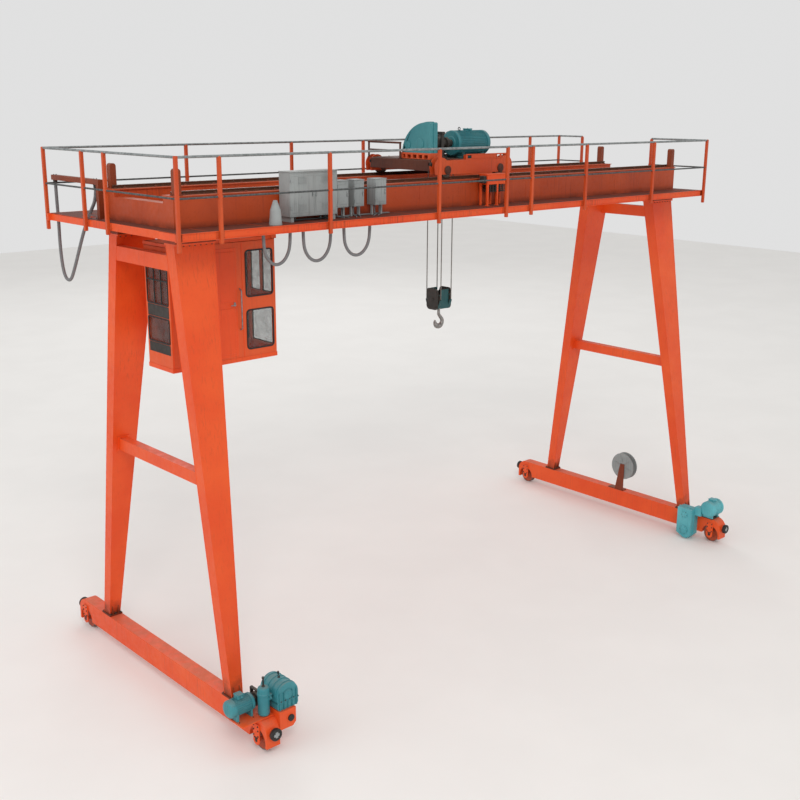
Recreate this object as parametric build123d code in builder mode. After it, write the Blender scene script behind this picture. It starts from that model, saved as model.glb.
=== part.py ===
from build123d import *
import os
from math import cos, degrees, radians, sin, tan

# A double-girder gantry crane. X runs along the girders, Y along the ground beams and Z is up.
# The origin is on the floor, under the middle of the crane. All lengths are in millimetres.
# The near side is at -Y, and the left portal, which has the cab, is at -X.

os.makedirs("parts", exist_ok=True)

# Running clearances
seat_gap = 0.3
run_gap = 6

# Portals
span = 13500
beam_width = 270
beam_bottom = 190
beam_top = 600
beam_length = 6500
beam_round = 90
wheel_stance = 5960
wheel_radius = 200
tread_radius = 176
tread_width = 70
wheel_width = 110
wheel_hub_radius = 78
arch_clearance = 25
axle_radius = 36
hanger_width = 170
hanger_thickness = 24
hanger_rise = 300
buffer_radius = 70
buffer_length = 115

leg_foot_width = 220
leg_foot_depth = 222
leg_top_width = 760
leg_top_depth = 255
leg_foot_stance = 4450
leg_top_stance = 2110
leg_top = 8150
flange_thickness = 30
flange_lip = 45

upper_tie_bottom = 7730
upper_tie_height = 250
upper_tie_width = 160
mid_brace_inset = 120
mid_brace_bottom = 4150
mid_brace_height = 220
mid_brace_width = 180
brace_plate_lip = 35
brace_plate = 22

# Girders, rails and their ends
girder_length = 13720
girder_top = 8940
girder_depth = 690
girder_width = 360
web_inset = 30
flange_plate = 16
girder_pitch = 1880
saddle_width = 300
end_beam_thickness = 200
end_beam_bottom = 8300
end_beam_top = 8810
rail_height = 60
rail_foot = 64
rail_foot_thickness = 10
rail_web = 14
rail_head = 36
rail_head_depth = 20
rail_end_gap = 60
stop_width = 120
stop_length = 110
stop_height = 420
stop_inset = 50
stop_nose = 70
stop_nose_radius = 45

# Walkways and handrails
deck_top = 8420
deck_plate = 10
deck_edge_depth = 130
deck_edge_width = 45
near_deck_edge = -1700
far_deck_edge = 2700
deck_end = 7140
bracket_pitch = 2200
bracket_thickness = 12
post_size = 60
post_drop = 70
corner_post_drop = 160
rail_pipe_radius = 21
mid_pipe_radius = 16
top_rail_height = 9570
mid_rail_height = 8950
near_post_stations = [-6400, -4200, -1620, 230, 970, 2680, 5070]
far_post_stations = [-4220, -1640, 360, 2300, 4200, 6010]
left_post_stations = [500, 1280]
right_near_panel_end = -150
right_far_panel_end = 1930

# Operator's cab, hung between the left legs
cab_left = -6640
cab_right = -4480
cab_near = -480
cab_far = 300
cab_bottom = 5930
cab_top = 8100
cab_wall = 45
cab_floor_thickness = 60
cab_post = 60
cab_mid_bar = 7040
cab_mid_bar_height = 140
cab_sill = 250
cab_head = 130
cab_window_left = -5110
glass_thickness = 8
cab_hanger = 90

# Things on the walkway
cabinet_left = -4820
cabinet_width = 1020
cabinet_depth = 300
cabinet_height = 830
cabinet_foot = 90
small_cabinets = [(-3740, 260), (-3350, 230), (-2860, 270)]
small_cabinet_depth = 220
small_cabinet_bottom = 8600
small_cabinet_top = 9060
horn_x = -5210
horn_y = -1540
horn_height = 400
horn_radius = 110
step_left = -120
step_length = 860
step_depth = 330
step_top = 8900
step_post = 45

# Cables: the arm with its long loop, and the loops under the near walkway
arm_x = -6930
arm_start = 1125
arm_end = 2900
arm_height = 9040
arm_size = 90
loop_cable_radius = 30
festoon_radius = 28
cable_slot = (1480, 1780)
cable_slot_width = 140

# Cable reel on the right ground beam
reel_y = -260
reel_z = 1260
reel_radius = 340
reel_core_radius = 150
reel_width = 150
reel_flange = 12
reel_shaft_radius = 30
reel_post_thickness = 20

# Trolley
trolley_x = 50
trolley_length = 2200
trolley_wheel_base = 1500
trolley_wheel_radius = 125
trolley_flange_radius = 145
trolley_tread_width = 44
trolley_wheel_width = 84
trolley_axle_radius = 32
side_beam_bottom = 9045
side_beam_top = 9310
side_beam_width = 150
cross_beam_width = 180
cross_beam_depth = 200
trolley_deck = 12
rope_well_length = 760
rope_well_width = 640
drum_radius = 190
drum_length = 900
drum_height = 9590
drum_y = 190
motor_y = -500
motor_length = 1370
motor_left = -400
motor_height = 520
motor_depth = 480
gear_cover_left = -1020
gear_cover_width = 240
gear_cover_near = -800
gear_cover_far = 30
gear_cover_bottom = 9322
gear_cover_top = 10040
guard_height = 9640
guard_pipe = 20

# Hoist: four falls, the block and the hook
fall_offset_x = 60
sheave_pitch = 300
sheave_radius = 200
sheave_width = 56
rope_radius = 11
rope_top = 9400
anchor_size = 50
block_axis_z = 6400
block_cheek = 20
block_cheek_radius = 225
hook_shank_radius = 34
hook_seat_z = 6200
hook_bowl_radius = 105
hook_bowl_z = 5905
hook_wire_radius = 42

# Travel drives
drive_y = -2780

# Values worked out from the sizes above
beam_x = span / 2
wheel_y = wheel_stance / 2
wheel_z = wheel_radius
leg_outer_x = beam_x + leg_foot_width / 2
leg_foot = beam_top + flange_thickness
girder_bottom = girder_top - girder_depth
girder_half = girder_length / 2
web_outer = girder_pitch / 2 + girder_width / 2 - web_inset
web_inner = girder_pitch / 2 - girder_width / 2 + web_inset
rail_top = girder_top + rail_height
deck_under = deck_top - deck_edge_depth
hook_x = trolley_x + fall_offset_x


def save(part, name):
    """Label a finished piece and write it to its own file."""
    part.label = name
    export_step(part, f"parts/{name}.step")


def block(x_limits, y_limits, z_limits, mode=Mode.ADD):
    """Add a box that fills the given limits to the piece being built."""
    limits = (x_limits, y_limits, z_limits)
    centre = [(low + high) / 2 for low, high in limits]
    size = [abs(high - low) for low, high in limits]
    with Locations(tuple(centre)):
        Box(*size, mode=mode)


def leg_y(height, offset=0):
    """Distance of a leg's inner face from the middle plane at a height, less an offset."""
    foot_inner = leg_foot_stance / 2 - leg_foot_depth
    top_inner = leg_top_stance / 2 - leg_top_depth
    share = (height - leg_foot) / (leg_top - leg_foot)
    return foot_inner + (top_inner - foot_inner) * share - offset


def make_ground_beam(side):
    """A box beam with an arch for the wheel at each end, wheel hangers and end buffers."""
    centre_x = side * beam_x
    with BuildPart() as beam:
        with BuildSketch(Plane.YZ.offset(centre_x - beam_width / 2)) as profile:
            with Locations((0, (beam_top + beam_bottom) / 2)):
                Rectangle(beam_length, beam_top - beam_bottom)
            fillet(profile.vertices().group_by(Axis.Z)[-1], beam_round)
            with Locations((wheel_y, wheel_z), (-wheel_y, wheel_z)):
                Circle(wheel_radius + arch_clearance, mode=Mode.SUBTRACT)
        extrude(amount=beam_width)
        for face in (-1, 1):
            outer = centre_x + face * beam_width / 2
            start = min(outer, outer + face * hanger_thickness)
            with BuildSketch(Plane.YZ.offset(start)):
                for end in (-1, 1):
                    with Locations((end * wheel_y, wheel_z + hanger_rise / 2)):
                        Rectangle(hanger_width, hanger_rise)
                with Locations((wheel_y, wheel_z), (-wheel_y, wheel_z)):
                    Circle(hanger_width / 2)
                    Circle(axle_radius + seat_gap, mode=Mode.SUBTRACT)
            extrude(amount=hanger_thickness)
        buffer_start = beam_length / 2
        with BuildSketch(Plane.XZ.offset(buffer_start)):
            with Locations((centre_x, (beam_top + beam_bottom) / 2)):
                Circle(buffer_radius)
        extrude(amount=buffer_length)
        with BuildSketch(Plane.XZ.offset(-buffer_start - buffer_length)):
            with Locations((centre_x, (beam_top + beam_bottom) / 2)):
                Circle(buffer_radius)
        extrude(amount=buffer_length)
    return beam.part


def make_travel_wheel(side, end):
    """A double-flanged wheel on its axle, which reaches through both hangers."""
    half_axle = beam_width / 2 + hanger_thickness
    with BuildPart() as wheel:
        with BuildSketch(Plane.XZ.offset(-end * wheel_y)):
            with BuildLine():
                Polyline(
                    (side * beam_x - half_axle, wheel_z),
                    (side * beam_x - half_axle, wheel_z + axle_radius),
                    (side * beam_x - wheel_width / 2, wheel_z + axle_radius),
                    (side * beam_x - wheel_width / 2, wheel_z + wheel_hub_radius),
                    (side * beam_x - wheel_width / 2 + 12, wheel_z + wheel_hub_radius + 12),
                    (side * beam_x - wheel_width / 2, wheel_z + wheel_radius - 30),
                    (side * beam_x - wheel_width / 2, wheel_z + wheel_radius),
                    (side * beam_x - tread_width / 2 - 6, wheel_z + wheel_radius),
                    (side * beam_x - tread_width / 2, wheel_z + tread_radius),
                    (side * beam_x + tread_width / 2, wheel_z + tread_radius),
                    (side * beam_x + tread_width / 2 + 6, wheel_z + wheel_radius),
                    (side * beam_x + wheel_width / 2, wheel_z + wheel_radius),
                    (side * beam_x + wheel_width / 2, wheel_z + wheel_radius - 30),
                    (side * beam_x + wheel_width / 2 - 12, wheel_z + wheel_hub_radius + 12),
                    (side * beam_x + wheel_width / 2, wheel_z + wheel_hub_radius),
                    (side * beam_x + wheel_width / 2, wheel_z + axle_radius),
                    (side * beam_x + half_axle, wheel_z + axle_radius),
                    (side * beam_x + half_axle, wheel_z),
                    close=True,
                )
            make_face()
        revolve(axis=Axis((0, end * wheel_y, wheel_z), (1, 0, 0)))
    return wheel.part


def make_leg(side, end):
    """A box leg, narrow at the foot and wide at the top, with a flange at each end."""
    foot_x = side * (leg_outer_x - leg_foot_width / 2)
    top_x = side * (leg_outer_x - leg_top_width / 2)
    foot_y = end * (leg_foot_stance / 2 - leg_foot_depth / 2)
    top_y = end * (leg_top_stance / 2 - leg_top_depth / 2)
    with BuildPart() as leg:
        with BuildSketch(Plane.XY.offset(leg_foot)):
            with Locations((foot_x, foot_y)):
                Rectangle(leg_foot_width, leg_foot_depth)
        with BuildSketch(Plane.XY.offset(leg_top)):
            with Locations((top_x, top_y)):
                Rectangle(leg_top_width, leg_top_depth)
        loft(ruled=True)
        half_x = beam_width / 2
        half_y = leg_foot_depth / 2 + flange_lip
        block(
            (foot_x - half_x, foot_x + half_x),
            (foot_y - half_y, foot_y + half_y),
            (beam_top, leg_foot),
        )
        half_x = leg_top_width / 2
        half_y = leg_top_depth / 2 + flange_lip
        top_limits = (leg_top, leg_top + flange_thickness)
        block((top_x - half_x, top_x + half_x), (top_y - half_y, top_y + half_y), top_limits)
    return leg.part


def make_cross_member(side, inset, bottom, height, width, plate, plate_lip):
    """A box member between the two legs of a portal, with an end plate against each leg."""
    middle_x = side * (leg_outer_x - inset - width / 2)
    with BuildPart() as member:
        with BuildSketch(Plane.YZ.offset(middle_x - width / 2)):
            low = leg_y(bottom)
            high = leg_y(bottom + height)
            top = bottom + height
            Polygon((-low, bottom), (low, bottom), (high, top), (-high, top), align=None)
        extrude(amount=width)
        if plate > 0:
            low_z = bottom - plate_lip
            high_z = bottom + height + plate_lip
            with BuildSketch(Plane.YZ.offset(middle_x - width / 2 - plate_lip)):
                for end in (-1, 1):
                    Polygon(
                        (end * leg_y(low_z), low_z),
                        (end * leg_y(low_z, plate), low_z),
                        (end * leg_y(high_z, plate), high_z),
                        (end * leg_y(high_z), high_z),
                        align=None,
                    )
            extrude(amount=width + 2 * plate_lip)
    return member.part


def make_girder(end):
    """A box girder: top and bottom flange plates with two webs, closed at its ends."""
    centre_y = end * girder_pitch / 2
    with BuildPart() as girder:
        with BuildSketch(Plane.YZ.offset(-girder_half)):
            with Locations((centre_y, (girder_top + girder_bottom) / 2)):
                Rectangle(girder_width - 2 * web_inset, girder_depth)
            top_middle = girder_top - flange_plate / 2
            bottom_middle = girder_bottom + flange_plate / 2
            with Locations((centre_y, top_middle), (centre_y, bottom_middle)):
                Rectangle(girder_width, flange_plate)
        extrude(amount=girder_length)
        for side in (-1, 1):
            outer = side * leg_outer_x
            inner = side * (leg_outer_x - leg_top_width)
            leg_mid = end * (leg_top_stance / 2 - leg_top_depth / 2)
            half_y = leg_top_depth / 2 + flange_lip
            block(
                (min(outer, inner), max(outer, inner)),
                (leg_mid - half_y, leg_mid + half_y),
                (leg_top + flange_thickness, girder_bottom),
            )
    return girder.part


def make_rail(end):
    """A flat-bottomed crane rail along the middle of a girder's top flange."""
    centre_y = end * girder_pitch / 2
    half_foot = rail_foot / 2
    half_web = rail_web / 2
    half_head = rail_head / 2
    neck = rail_height - rail_head_depth
    outline = [
        (-half_foot, 0),
        (half_foot, 0),
        (half_foot, rail_foot_thickness),
        (half_web, rail_foot_thickness + 6),
        (half_web, neck - 6),
        (half_head, neck),
        (half_head, rail_height),
        (-half_head, rail_height),
        (-half_head, neck),
        (-half_web, neck - 6),
        (-half_web, rail_foot_thickness + 6),
        (-half_foot, rail_foot_thickness),
    ]
    with BuildPart() as rail:
        start = rail_end_gap - girder_half
        with BuildSketch(Plane.YZ.offset(start)):
            Polygon(*[(centre_y + y, girder_top + z) for y, z in outline], align=None)
        extrude(amount=girder_length - 2 * rail_end_gap)
    return rail.part


def make_end_beam(side):
    """The tie between the two girders at one end of the bridge."""
    outer = side * girder_half
    inner = side * (girder_half - end_beam_thickness)
    with BuildPart() as tie:
        block(
            (min(outer, inner), max(outer, inner)),
            (-web_inner, web_inner),
            (end_beam_bottom, end_beam_top),
        )
    return tie.part


def make_end_stops(side):
    """Two upright trolley stops, one beside each rail's end, with a round rubber nose."""
    middle_x = side * (girder_half - stop_inset - stop_length / 2)
    with BuildPart() as stops:
        for end in (-1, 1):
            middle_y = end * (girder_pitch / 2 + rail_foot / 2 + stop_width / 2 + 4)
            block(
                (middle_x - stop_length / 2, middle_x + stop_length / 2),
                (middle_y - stop_width / 2, middle_y + stop_width / 2),
                (girder_top, girder_top + stop_height),
            )
        edges_up = stops.edges().filter_by(Axis.Y).group_by(Axis.Z)[-1]
        fillet(edges_up, stop_length / 2 - 5)
    return stops.part


def make_side_walkway(end):
    """A deck plate beside a girder with a channel edge and cantilever brackets."""
    outer = near_deck_edge if end < 0 else far_deck_edge
    inner = end * web_outer
    low = min(outer, inner)
    high = max(outer, inner)
    edge_inner = outer - end * deck_edge_width
    with BuildPart() as walkway:
        block((-deck_end, deck_end), (low, high), (deck_top - deck_plate, deck_top))
        edge_half = deck_end + post_size
        block(
            (-edge_half, edge_half),
            (min(outer, edge_inner), max(outer, edge_inner)),
            (deck_under, deck_top),
        )
        count = int((girder_half - leg_top_width) / bracket_pitch)
        for index in range(-count, count + 1):
            x = index * bracket_pitch
            with BuildSketch(Plane.YZ.offset(x - bracket_thickness / 2)):
                top = deck_top - deck_plate
                Polygon(
                    (inner, top),
                    (edge_inner, top),
                    (edge_inner, deck_under + 20),
                    (inner, girder_bottom + flange_plate),
                    align=None,
                )
            extrude(amount=bracket_thickness)
        if end > 0:
            block(
                (arm_x - cable_slot_width / 2, arm_x + cable_slot_width / 2),
                cable_slot,
                (deck_top - deck_plate, deck_top),
                Mode.SUBTRACT,
            )
    return walkway.part


def make_end_walkway(side):
    """The narrow deck across one end of the bridge."""
    inner = side * girder_half
    outer = side * deck_end
    edge_inner = outer - side * deck_edge_width
    with BuildPart() as walkway:
        block(
            (min(inner, outer), max(inner, outer)),
            (-web_outer, web_outer),
            (deck_top - deck_plate, deck_top),
        )
        block(
            (min(outer, edge_inner), max(outer, edge_inner)),
            (-web_outer, web_outer),
            (deck_under, deck_top),
        )
    return walkway.part


def make_long_handrail(end, stations):
    """Posts along a walkway's outer edge with a top pipe on them and a middle pipe between them."""
    outer = near_deck_edge if end < 0 else far_deck_edge
    line_y = outer + end * post_size / 2
    corner_x = deck_end + post_size / 2
    with BuildPart() as rail:
        for x in stations:
            block(
                (x - post_size / 2, x + post_size / 2),
                (line_y - post_size / 2, line_y + post_size / 2),
                (deck_under - post_drop, top_rail_height),
            )
        for x in (-corner_x, corner_x):
            block(
                (x - post_size / 2, x + post_size / 2),
                (line_y - post_size / 2, line_y + post_size / 2),
                (deck_under - corner_post_drop, top_rail_height + rail_pipe_radius),
            )
        for height, radius in ((top_rail_height, rail_pipe_radius), (mid_rail_height, mid_pipe_radius)):
            with BuildSketch(Plane.YZ.offset(-corner_x)):
                with Locations((line_y, height)):
                    Circle(radius)
            extrude(amount=2 * corner_x)
    return rail.part


def make_end_handrail(side, panels, stations):
    """The handrail across one end of the bridge, in one or two panels."""
    line_x = side * (deck_end + post_size / 2)
    with BuildPart() as rail:
        for y in stations:
            block(
                (line_x - post_size / 2, line_x + post_size / 2),
                (y - post_size / 2, y + post_size / 2),
                (deck_under - post_drop, top_rail_height),
            )
        for low, high in panels:
            for height, radius in ((top_rail_height, rail_pipe_radius), (mid_rail_height, mid_pipe_radius)):
                with BuildSketch(Plane.XZ.offset(-high)):
                    with Locations((line_x, height)):
                        Circle(radius)
                extrude(amount=high - low)
    return rail.part


for side, side_name in ((-1, "left"), (1, "right")):
    save(make_ground_beam(side), f"{side_name}_ground_beam")
    save(make_travel_wheel(side, -1), f"{side_name}_front_wheel")
    save(make_travel_wheel(side, 1), f"{side_name}_back_wheel")
    save(make_leg(side, -1), f"{side_name}_near_leg")
    save(make_leg(side, 1), f"{side_name}_far_leg")
    tie = make_cross_member(side, 0, upper_tie_bottom, upper_tie_height, upper_tie_width, 0, 0)
    save(tie, f"{side_name}_upper_tie")
    brace = make_cross_member(
        side,
        mid_brace_inset,
        mid_brace_bottom,
        mid_brace_height,
        mid_brace_width,
        brace_plate,
        brace_plate_lip,
    )
    save(brace, f"{side_name}_mid_brace")
    save(make_end_beam(side), f"{side_name}_end_beam")
    save(make_end_stops(side), f"{side_name}_end_stops")
    save(make_end_walkway(side), f"{side_name}_end_walkway")

for end, end_name in ((-1, "near"), (1, "far")):
    save(make_girder(end), f"{end_name}_girder")
    save(make_rail(end), f"{end_name}_rail")
    save(make_side_walkway(end), f"{end_name}_walkway")

save(make_long_handrail(-1, near_post_stations), "near_handrail")
save(make_long_handrail(1, far_post_stations), "far_handrail")
near_corner = near_deck_edge
far_corner = far_deck_edge
save(make_end_handrail(-1, [(near_corner, far_corner)], left_post_stations), "left_handrail")
right_panels = [(near_corner, right_near_panel_end), (right_far_panel_end, far_corner)]
right_stations = [right_near_panel_end - post_size / 2, right_far_panel_end + post_size / 2]
save(make_end_handrail(1, right_panels, right_stations), "right_handrail")


# The cab: floor, roof and four walls with their windows cut through, and the glass
def make_cab_wall(axis, position, low, high, windows):
    """A wall across X (axis X) or across Y (axis Y) with rectangular windows cut through it."""
    bottom = cab_bottom + cab_floor_thickness
    top = cab_top - cab_floor_thickness
    with BuildPart() as wall:
        if axis == "X":
            block((position, position + cab_wall), (low, high), (bottom, top))
            for left, right, sill, head in windows:
                block((position, position + cab_wall), (left, right), (sill, head), Mode.SUBTRACT)
        else:
            block((low, high), (position, position + cab_wall), (bottom, top))
            for left, right, sill, head in windows:
                block((left, right), (position, position + cab_wall), (sill, head), Mode.SUBTRACT)
    return wall.part


upper_sill = cab_mid_bar + cab_mid_bar_height
upper_head = cab_top - cab_head
lower_sill = cab_bottom + cab_sill
lower_head = cab_mid_bar
end_window = (cab_near + cab_wall + cab_post, cab_far - cab_wall - cab_post)
front_windows = [(*end_window, upper_sill, upper_head), (*end_window, lower_sill, lower_head)]
rear_windows = front_windows
side_window = (cab_window_left, cab_right - cab_wall - 15)
near_windows = [(*side_window, upper_sill, upper_head), (*side_window, lower_sill, lower_head)]
far_windows = near_windows

with BuildPart() as cab_floor:
    block((cab_left, cab_right), (cab_near, cab_far), (cab_bottom, cab_bottom + cab_floor_thickness))
save(cab_floor.part, "cab_floor")

with BuildPart() as cab_roof:
    block((cab_left, cab_right), (cab_near, cab_far), (cab_top - cab_floor_thickness, cab_top))
    for x in (cab_left + 690, cab_right - 250):
        block(
            (x - cab_hanger / 2, x + cab_hanger / 2),
            (-web_inner - 30, web_inner + 30),
            (cab_top, girder_bottom),
        )
save(cab_roof.part, "cab_roof")

cab_wall_low = cab_near + cab_wall
cab_wall_high = cab_far - cab_wall
save(make_cab_wall("Y", cab_near, cab_left, cab_right, near_windows), "cab_near_wall")
save(make_cab_wall("Y", cab_far - cab_wall, cab_left, cab_right, far_windows), "cab_far_wall")
save(make_cab_wall("X", cab_left, cab_wall_low, cab_wall_high, rear_windows), "cab_rear_wall")
save(make_cab_wall("X", cab_right - cab_wall, cab_wall_low, cab_wall_high, front_windows), "cab_front_wall")

with BuildPart() as cab_glazing:
    for position in (cab_near, cab_far - cab_wall):
        middle = position + cab_wall / 2
        glass = (middle - glass_thickness / 2, middle + glass_thickness / 2)
        for left, right, sill, head in near_windows:
            block((left, right), glass, (sill, head))
    for position in (cab_left, cab_right - cab_wall):
        middle = position + cab_wall / 2
        glass = (middle - glass_thickness / 2, middle + glass_thickness / 2)
        for left, right, sill, head in front_windows:
            block(glass, (left, right), (sill, head))
save(cab_glazing.part, "cab_glazing")

# Cabinets, horn and step on the near walkway
cabinet_back = -web_outer - 35
with BuildPart() as control_cabinets:
    block(
        (cabinet_left, cabinet_left + cabinet_width),
        (cabinet_back - cabinet_depth, cabinet_back),
        (deck_top + cabinet_foot, deck_top + cabinet_height),
    )
    foot_depth = (cabinet_back - cabinet_depth + 20, cabinet_back - 20)
    for x in (cabinet_left + 60, cabinet_left + cabinet_width - 60):
        block((x - 30, x + 30), foot_depth, (deck_top, deck_top + cabinet_foot))
    for left, width in small_cabinets:
        block(
            (left, left + width),
            (cabinet_back - small_cabinet_depth, cabinet_back),
            (small_cabinet_bottom, small_cabinet_top),
        )
        for x in (left + 25, left + width - 25):
            block((x - 18, x + 18), (cabinet_back - 120, cabinet_back - 84), (deck_top, small_cabinet_bottom))
save(control_cabinets.part, "control_cabinets")

with BuildPart() as horn:
    with BuildSketch(Plane.XY.offset(deck_top)):
        with Locations((horn_x, horn_y)):
            Circle(horn_radius)
    with BuildSketch(Plane.XY.offset(deck_top + horn_height * 0.6)):
        with Locations((horn_x, horn_y)):
            Circle(horn_radius * 0.8)
    loft()
    with BuildSketch(Plane.XY.offset(deck_top + horn_height * 0.6)):
        with Locations((horn_x, horn_y)):
            Circle(horn_radius * 0.8)
    with BuildSketch(Plane.XY.offset(deck_top + horn_height)):
        with Locations((horn_x, horn_y)):
            Circle(horn_radius * 0.3)
    loft()
save(horn.part, "horn")

step_back = -web_outer - 32
with BuildPart() as access_step:
    step_front = step_back - step_depth
    block((step_left, step_left + step_length), (step_front, step_back), (step_top - 140, step_top))
    for x in (step_left, step_left + step_length - step_post):
        for y in (step_back - step_depth, step_back - step_post):
            block((x, x + step_post), (y, y + step_post), (deck_top, step_top - 140))
save(access_step.part, "access_step")

# Cable arm over the far walkway's left end
half_arm = arm_size / 2
with BuildPart() as cable_arm:
    block(
        (arm_x - half_arm, arm_x + half_arm),
        (arm_start, arm_end),
        (arm_height - half_arm, arm_height + half_arm),
    )
    block(
        (arm_x - half_arm, arm_x + half_arm),
        (arm_start, arm_start + arm_size),
        (deck_top, arm_height - half_arm),
    )
save(cable_arm.part, "cable_arm")

# Cable reel on its post
reel_x = beam_x
post_left = reel_x - reel_width / 2 - run_gap - reel_post_thickness
with BuildPart() as reel_stand:
    with BuildSketch(Plane.YZ.offset(post_left)):
        Polygon(
            (reel_y - 60, reel_z + 60),
            (reel_y + 60, reel_z + 60),
            (reel_y + 190, beam_top + 20),
            (reel_y + 400, beam_top + 20),
            (reel_y + 400, beam_top),
            (reel_y - 60, beam_top),
            align=None,
        )
    extrude(amount=reel_post_thickness)
    block((post_left, reel_x + 60), (reel_y - 60, reel_y + 400), (beam_top, beam_top + 20))
    with BuildSketch(Plane.YZ.offset(post_left)):
        with Locations((reel_y, reel_z)):
            Circle(reel_shaft_radius)
    extrude(amount=reel_width + reel_post_thickness + 2 * run_gap)
save(reel_stand.part, "reel_stand")

with BuildPart() as cable_reel:
    for start, radius, width in (
        (0, reel_radius, reel_flange),
        (0, reel_core_radius, reel_width),
        (reel_width - reel_flange, reel_radius, reel_flange),
    ):
        with BuildSketch(Plane.YZ.offset(reel_x - reel_width / 2 + start)):
            with Locations((reel_y, reel_z)):
                Circle(radius)
                Circle(reel_shaft_radius + 0.5, mode=Mode.SUBTRACT)
        extrude(amount=width)
save(cable_reel.part, "cable_reel")

# Travel drives on the near beam ends
with BuildPart() as left_drive:
    left_x = -beam_x
    block((left_x - 600, left_x), (drive_y - 170, drive_y + 180), (beam_top, beam_top + 350))
    block((left_x, left_x + 150), (drive_y - 90, drive_y + 90), (beam_top, beam_top + 300))
    block((left_x + 150, left_x + 250), (drive_y - 60, drive_y + 60), (beam_top + 180, beam_top + 300))
    block((left_x + 250, left_x + 650), (drive_y - 220, drive_y + 160), (720, 1350))
save(left_drive.part, "left_travel_drive")

with BuildPart() as right_drive:
    right_x = beam_x
    inner_face = right_x - beam_width / 2
    block((inner_face - 260, inner_face), (-2620, -2100), (70, 880))
    block((inner_face - 20, inner_face + 150), (-2960, -2500), (beam_top, beam_top + 280))
    block((right_x - 150, right_x + 150), (-3130, -2940), (beam_top, beam_top + 150))
    block((right_x - 150, right_x + 150), (-3360, -2880), (beam_top + 150, beam_top + 640))
save(right_drive.part, "right_travel_drive")

# Trolley frame with its deck and guard rail
trolley_left = trolley_x - trolley_length / 2
trolley_right = trolley_x + trolley_length / 2
with BuildPart() as trolley_frame:
    for end in (-1, 1):
        middle = end * girder_pitch / 2
        block(
            (trolley_left, trolley_right),
            (middle - side_beam_width / 2, middle + side_beam_width / 2),
            (side_beam_bottom, side_beam_top),
        )
    cross_reach = girder_pitch / 2
    for left in (trolley_left, trolley_right - cross_beam_width):
        block(
            (left, left + cross_beam_width),
            (-cross_reach, cross_reach),
            (side_beam_top - cross_beam_depth, side_beam_top),
        )
    block(
        (trolley_left, trolley_right),
        (-cross_reach - side_beam_width / 2, cross_reach + side_beam_width / 2),
        (side_beam_top, side_beam_top + trolley_deck),
    )
    block(
        (hook_x - rope_well_length / 2, hook_x + rope_well_length / 2),
        (-rope_well_width / 2, rope_well_width / 2),
        (side_beam_top, side_beam_top + trolley_deck),
        Mode.SUBTRACT,
    )
    pocket_radius = trolley_flange_radius + 8
    pocket_width = trolley_wheel_width + 2 * run_gap
    axle_z = rail_top + trolley_wheel_radius + seat_gap
    for end in (-1, 1):
        for step in (-1, 1):
            x = trolley_x + step * trolley_wheel_base / 2
            y = end * girder_pitch / 2
            block(
                (x - pocket_radius, x + pocket_radius),
                (y - pocket_width / 2, y + pocket_width / 2),
                (side_beam_bottom, axle_z + pocket_radius - 8),
                Mode.SUBTRACT,
            )
    for step in (-1, 1):
        x = trolley_x + step * trolley_wheel_base / 2
        with BuildSketch(Plane.XZ.offset(-cross_reach - side_beam_width)):
            with Locations((x, axle_z)):
                Circle(trolley_axle_radius + 1)
        extrude(amount=2 * cross_reach + 2 * side_beam_width, mode=Mode.SUBTRACT)
    guard_x = trolley_left + 30
    for y in (0, cross_reach):
        block(
            (guard_x - guard_pipe, guard_x + guard_pipe),
            (y - guard_pipe, y + guard_pipe),
            (side_beam_top + trolley_deck, guard_height),
        )
    block(
        (guard_x - guard_pipe, guard_x + guard_pipe),
        (-guard_pipe, cross_reach + guard_pipe),
        (guard_height - 2 * guard_pipe, guard_height),
    )
    anchor_y = -sheave_radius - rope_radius
    anchor_half = rope_well_length / 2 + anchor_size
    block(
        (hook_x - anchor_half, hook_x + anchor_half),
        (anchor_y - anchor_size / 2, anchor_y + anchor_size / 2),
        (rope_top, rope_top + anchor_size),
    )
    for x in (hook_x - anchor_half, hook_x + anchor_half - anchor_size):
        block(
            (x, x + anchor_size),
            (anchor_y - anchor_size / 2, anchor_y + anchor_size / 2),
            (side_beam_top, rope_top + anchor_size),
        )
save(trolley_frame.part, "trolley_frame")

for step, step_name in ((-1, "left"), (1, "right")):
    axle_x = trolley_x + step * trolley_wheel_base / 2
    with BuildPart() as axle:
        with BuildSketch(Plane.XZ.offset(-cross_reach - side_beam_width / 2)):
            with Locations((axle_x, axle_z)):
                Circle(trolley_axle_radius)
        extrude(amount=2 * cross_reach + side_beam_width)
        for end in (-1, 1):
            middle = end * girder_pitch / 2
            flange_width = (trolley_wheel_width - trolley_tread_width) / 2
            for start, width, radius in (
                (-trolley_wheel_width / 2, trolley_wheel_width, trolley_wheel_radius),
                (-trolley_wheel_width / 2, flange_width, trolley_flange_radius),
                (trolley_tread_width / 2, flange_width, trolley_flange_radius),
            ):
                with BuildSketch(Plane.XZ.offset(-middle - start - width)):
                    with Locations((axle_x, axle_z)):
                        Circle(radius)
                extrude(amount=width)
    save(axle.part, f"{step_name}_trolley_axle")

trolley_top = side_beam_top + trolley_deck
with BuildPart() as rope_drum:
    drum_left = hook_x - drum_length / 2
    with BuildSketch(Plane.YZ.offset(drum_left)):
        with Locations((drum_y, drum_height)):
            Circle(drum_radius)
    extrude(amount=drum_length)
    for x in (drum_left - 60, drum_left + drum_length):
        block((x, x + 60), (drum_y - 130, drum_y + 130), (trolley_top, drum_height + 60))
save(rope_drum.part, "rope_drum")

with BuildPart() as hoist_motor:
    left = trolley_x + motor_left
    block(
        (left, left + motor_length),
        (motor_y - motor_depth / 2, motor_y + motor_depth / 2),
        (trolley_top, trolley_top + motor_height),
    )
    long_edges = hoist_motor.edges().filter_by(Axis.X).group_by(Axis.Z)[-1]
    fillet(long_edges, 160)
save(hoist_motor.part, "hoist_motor")

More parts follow.
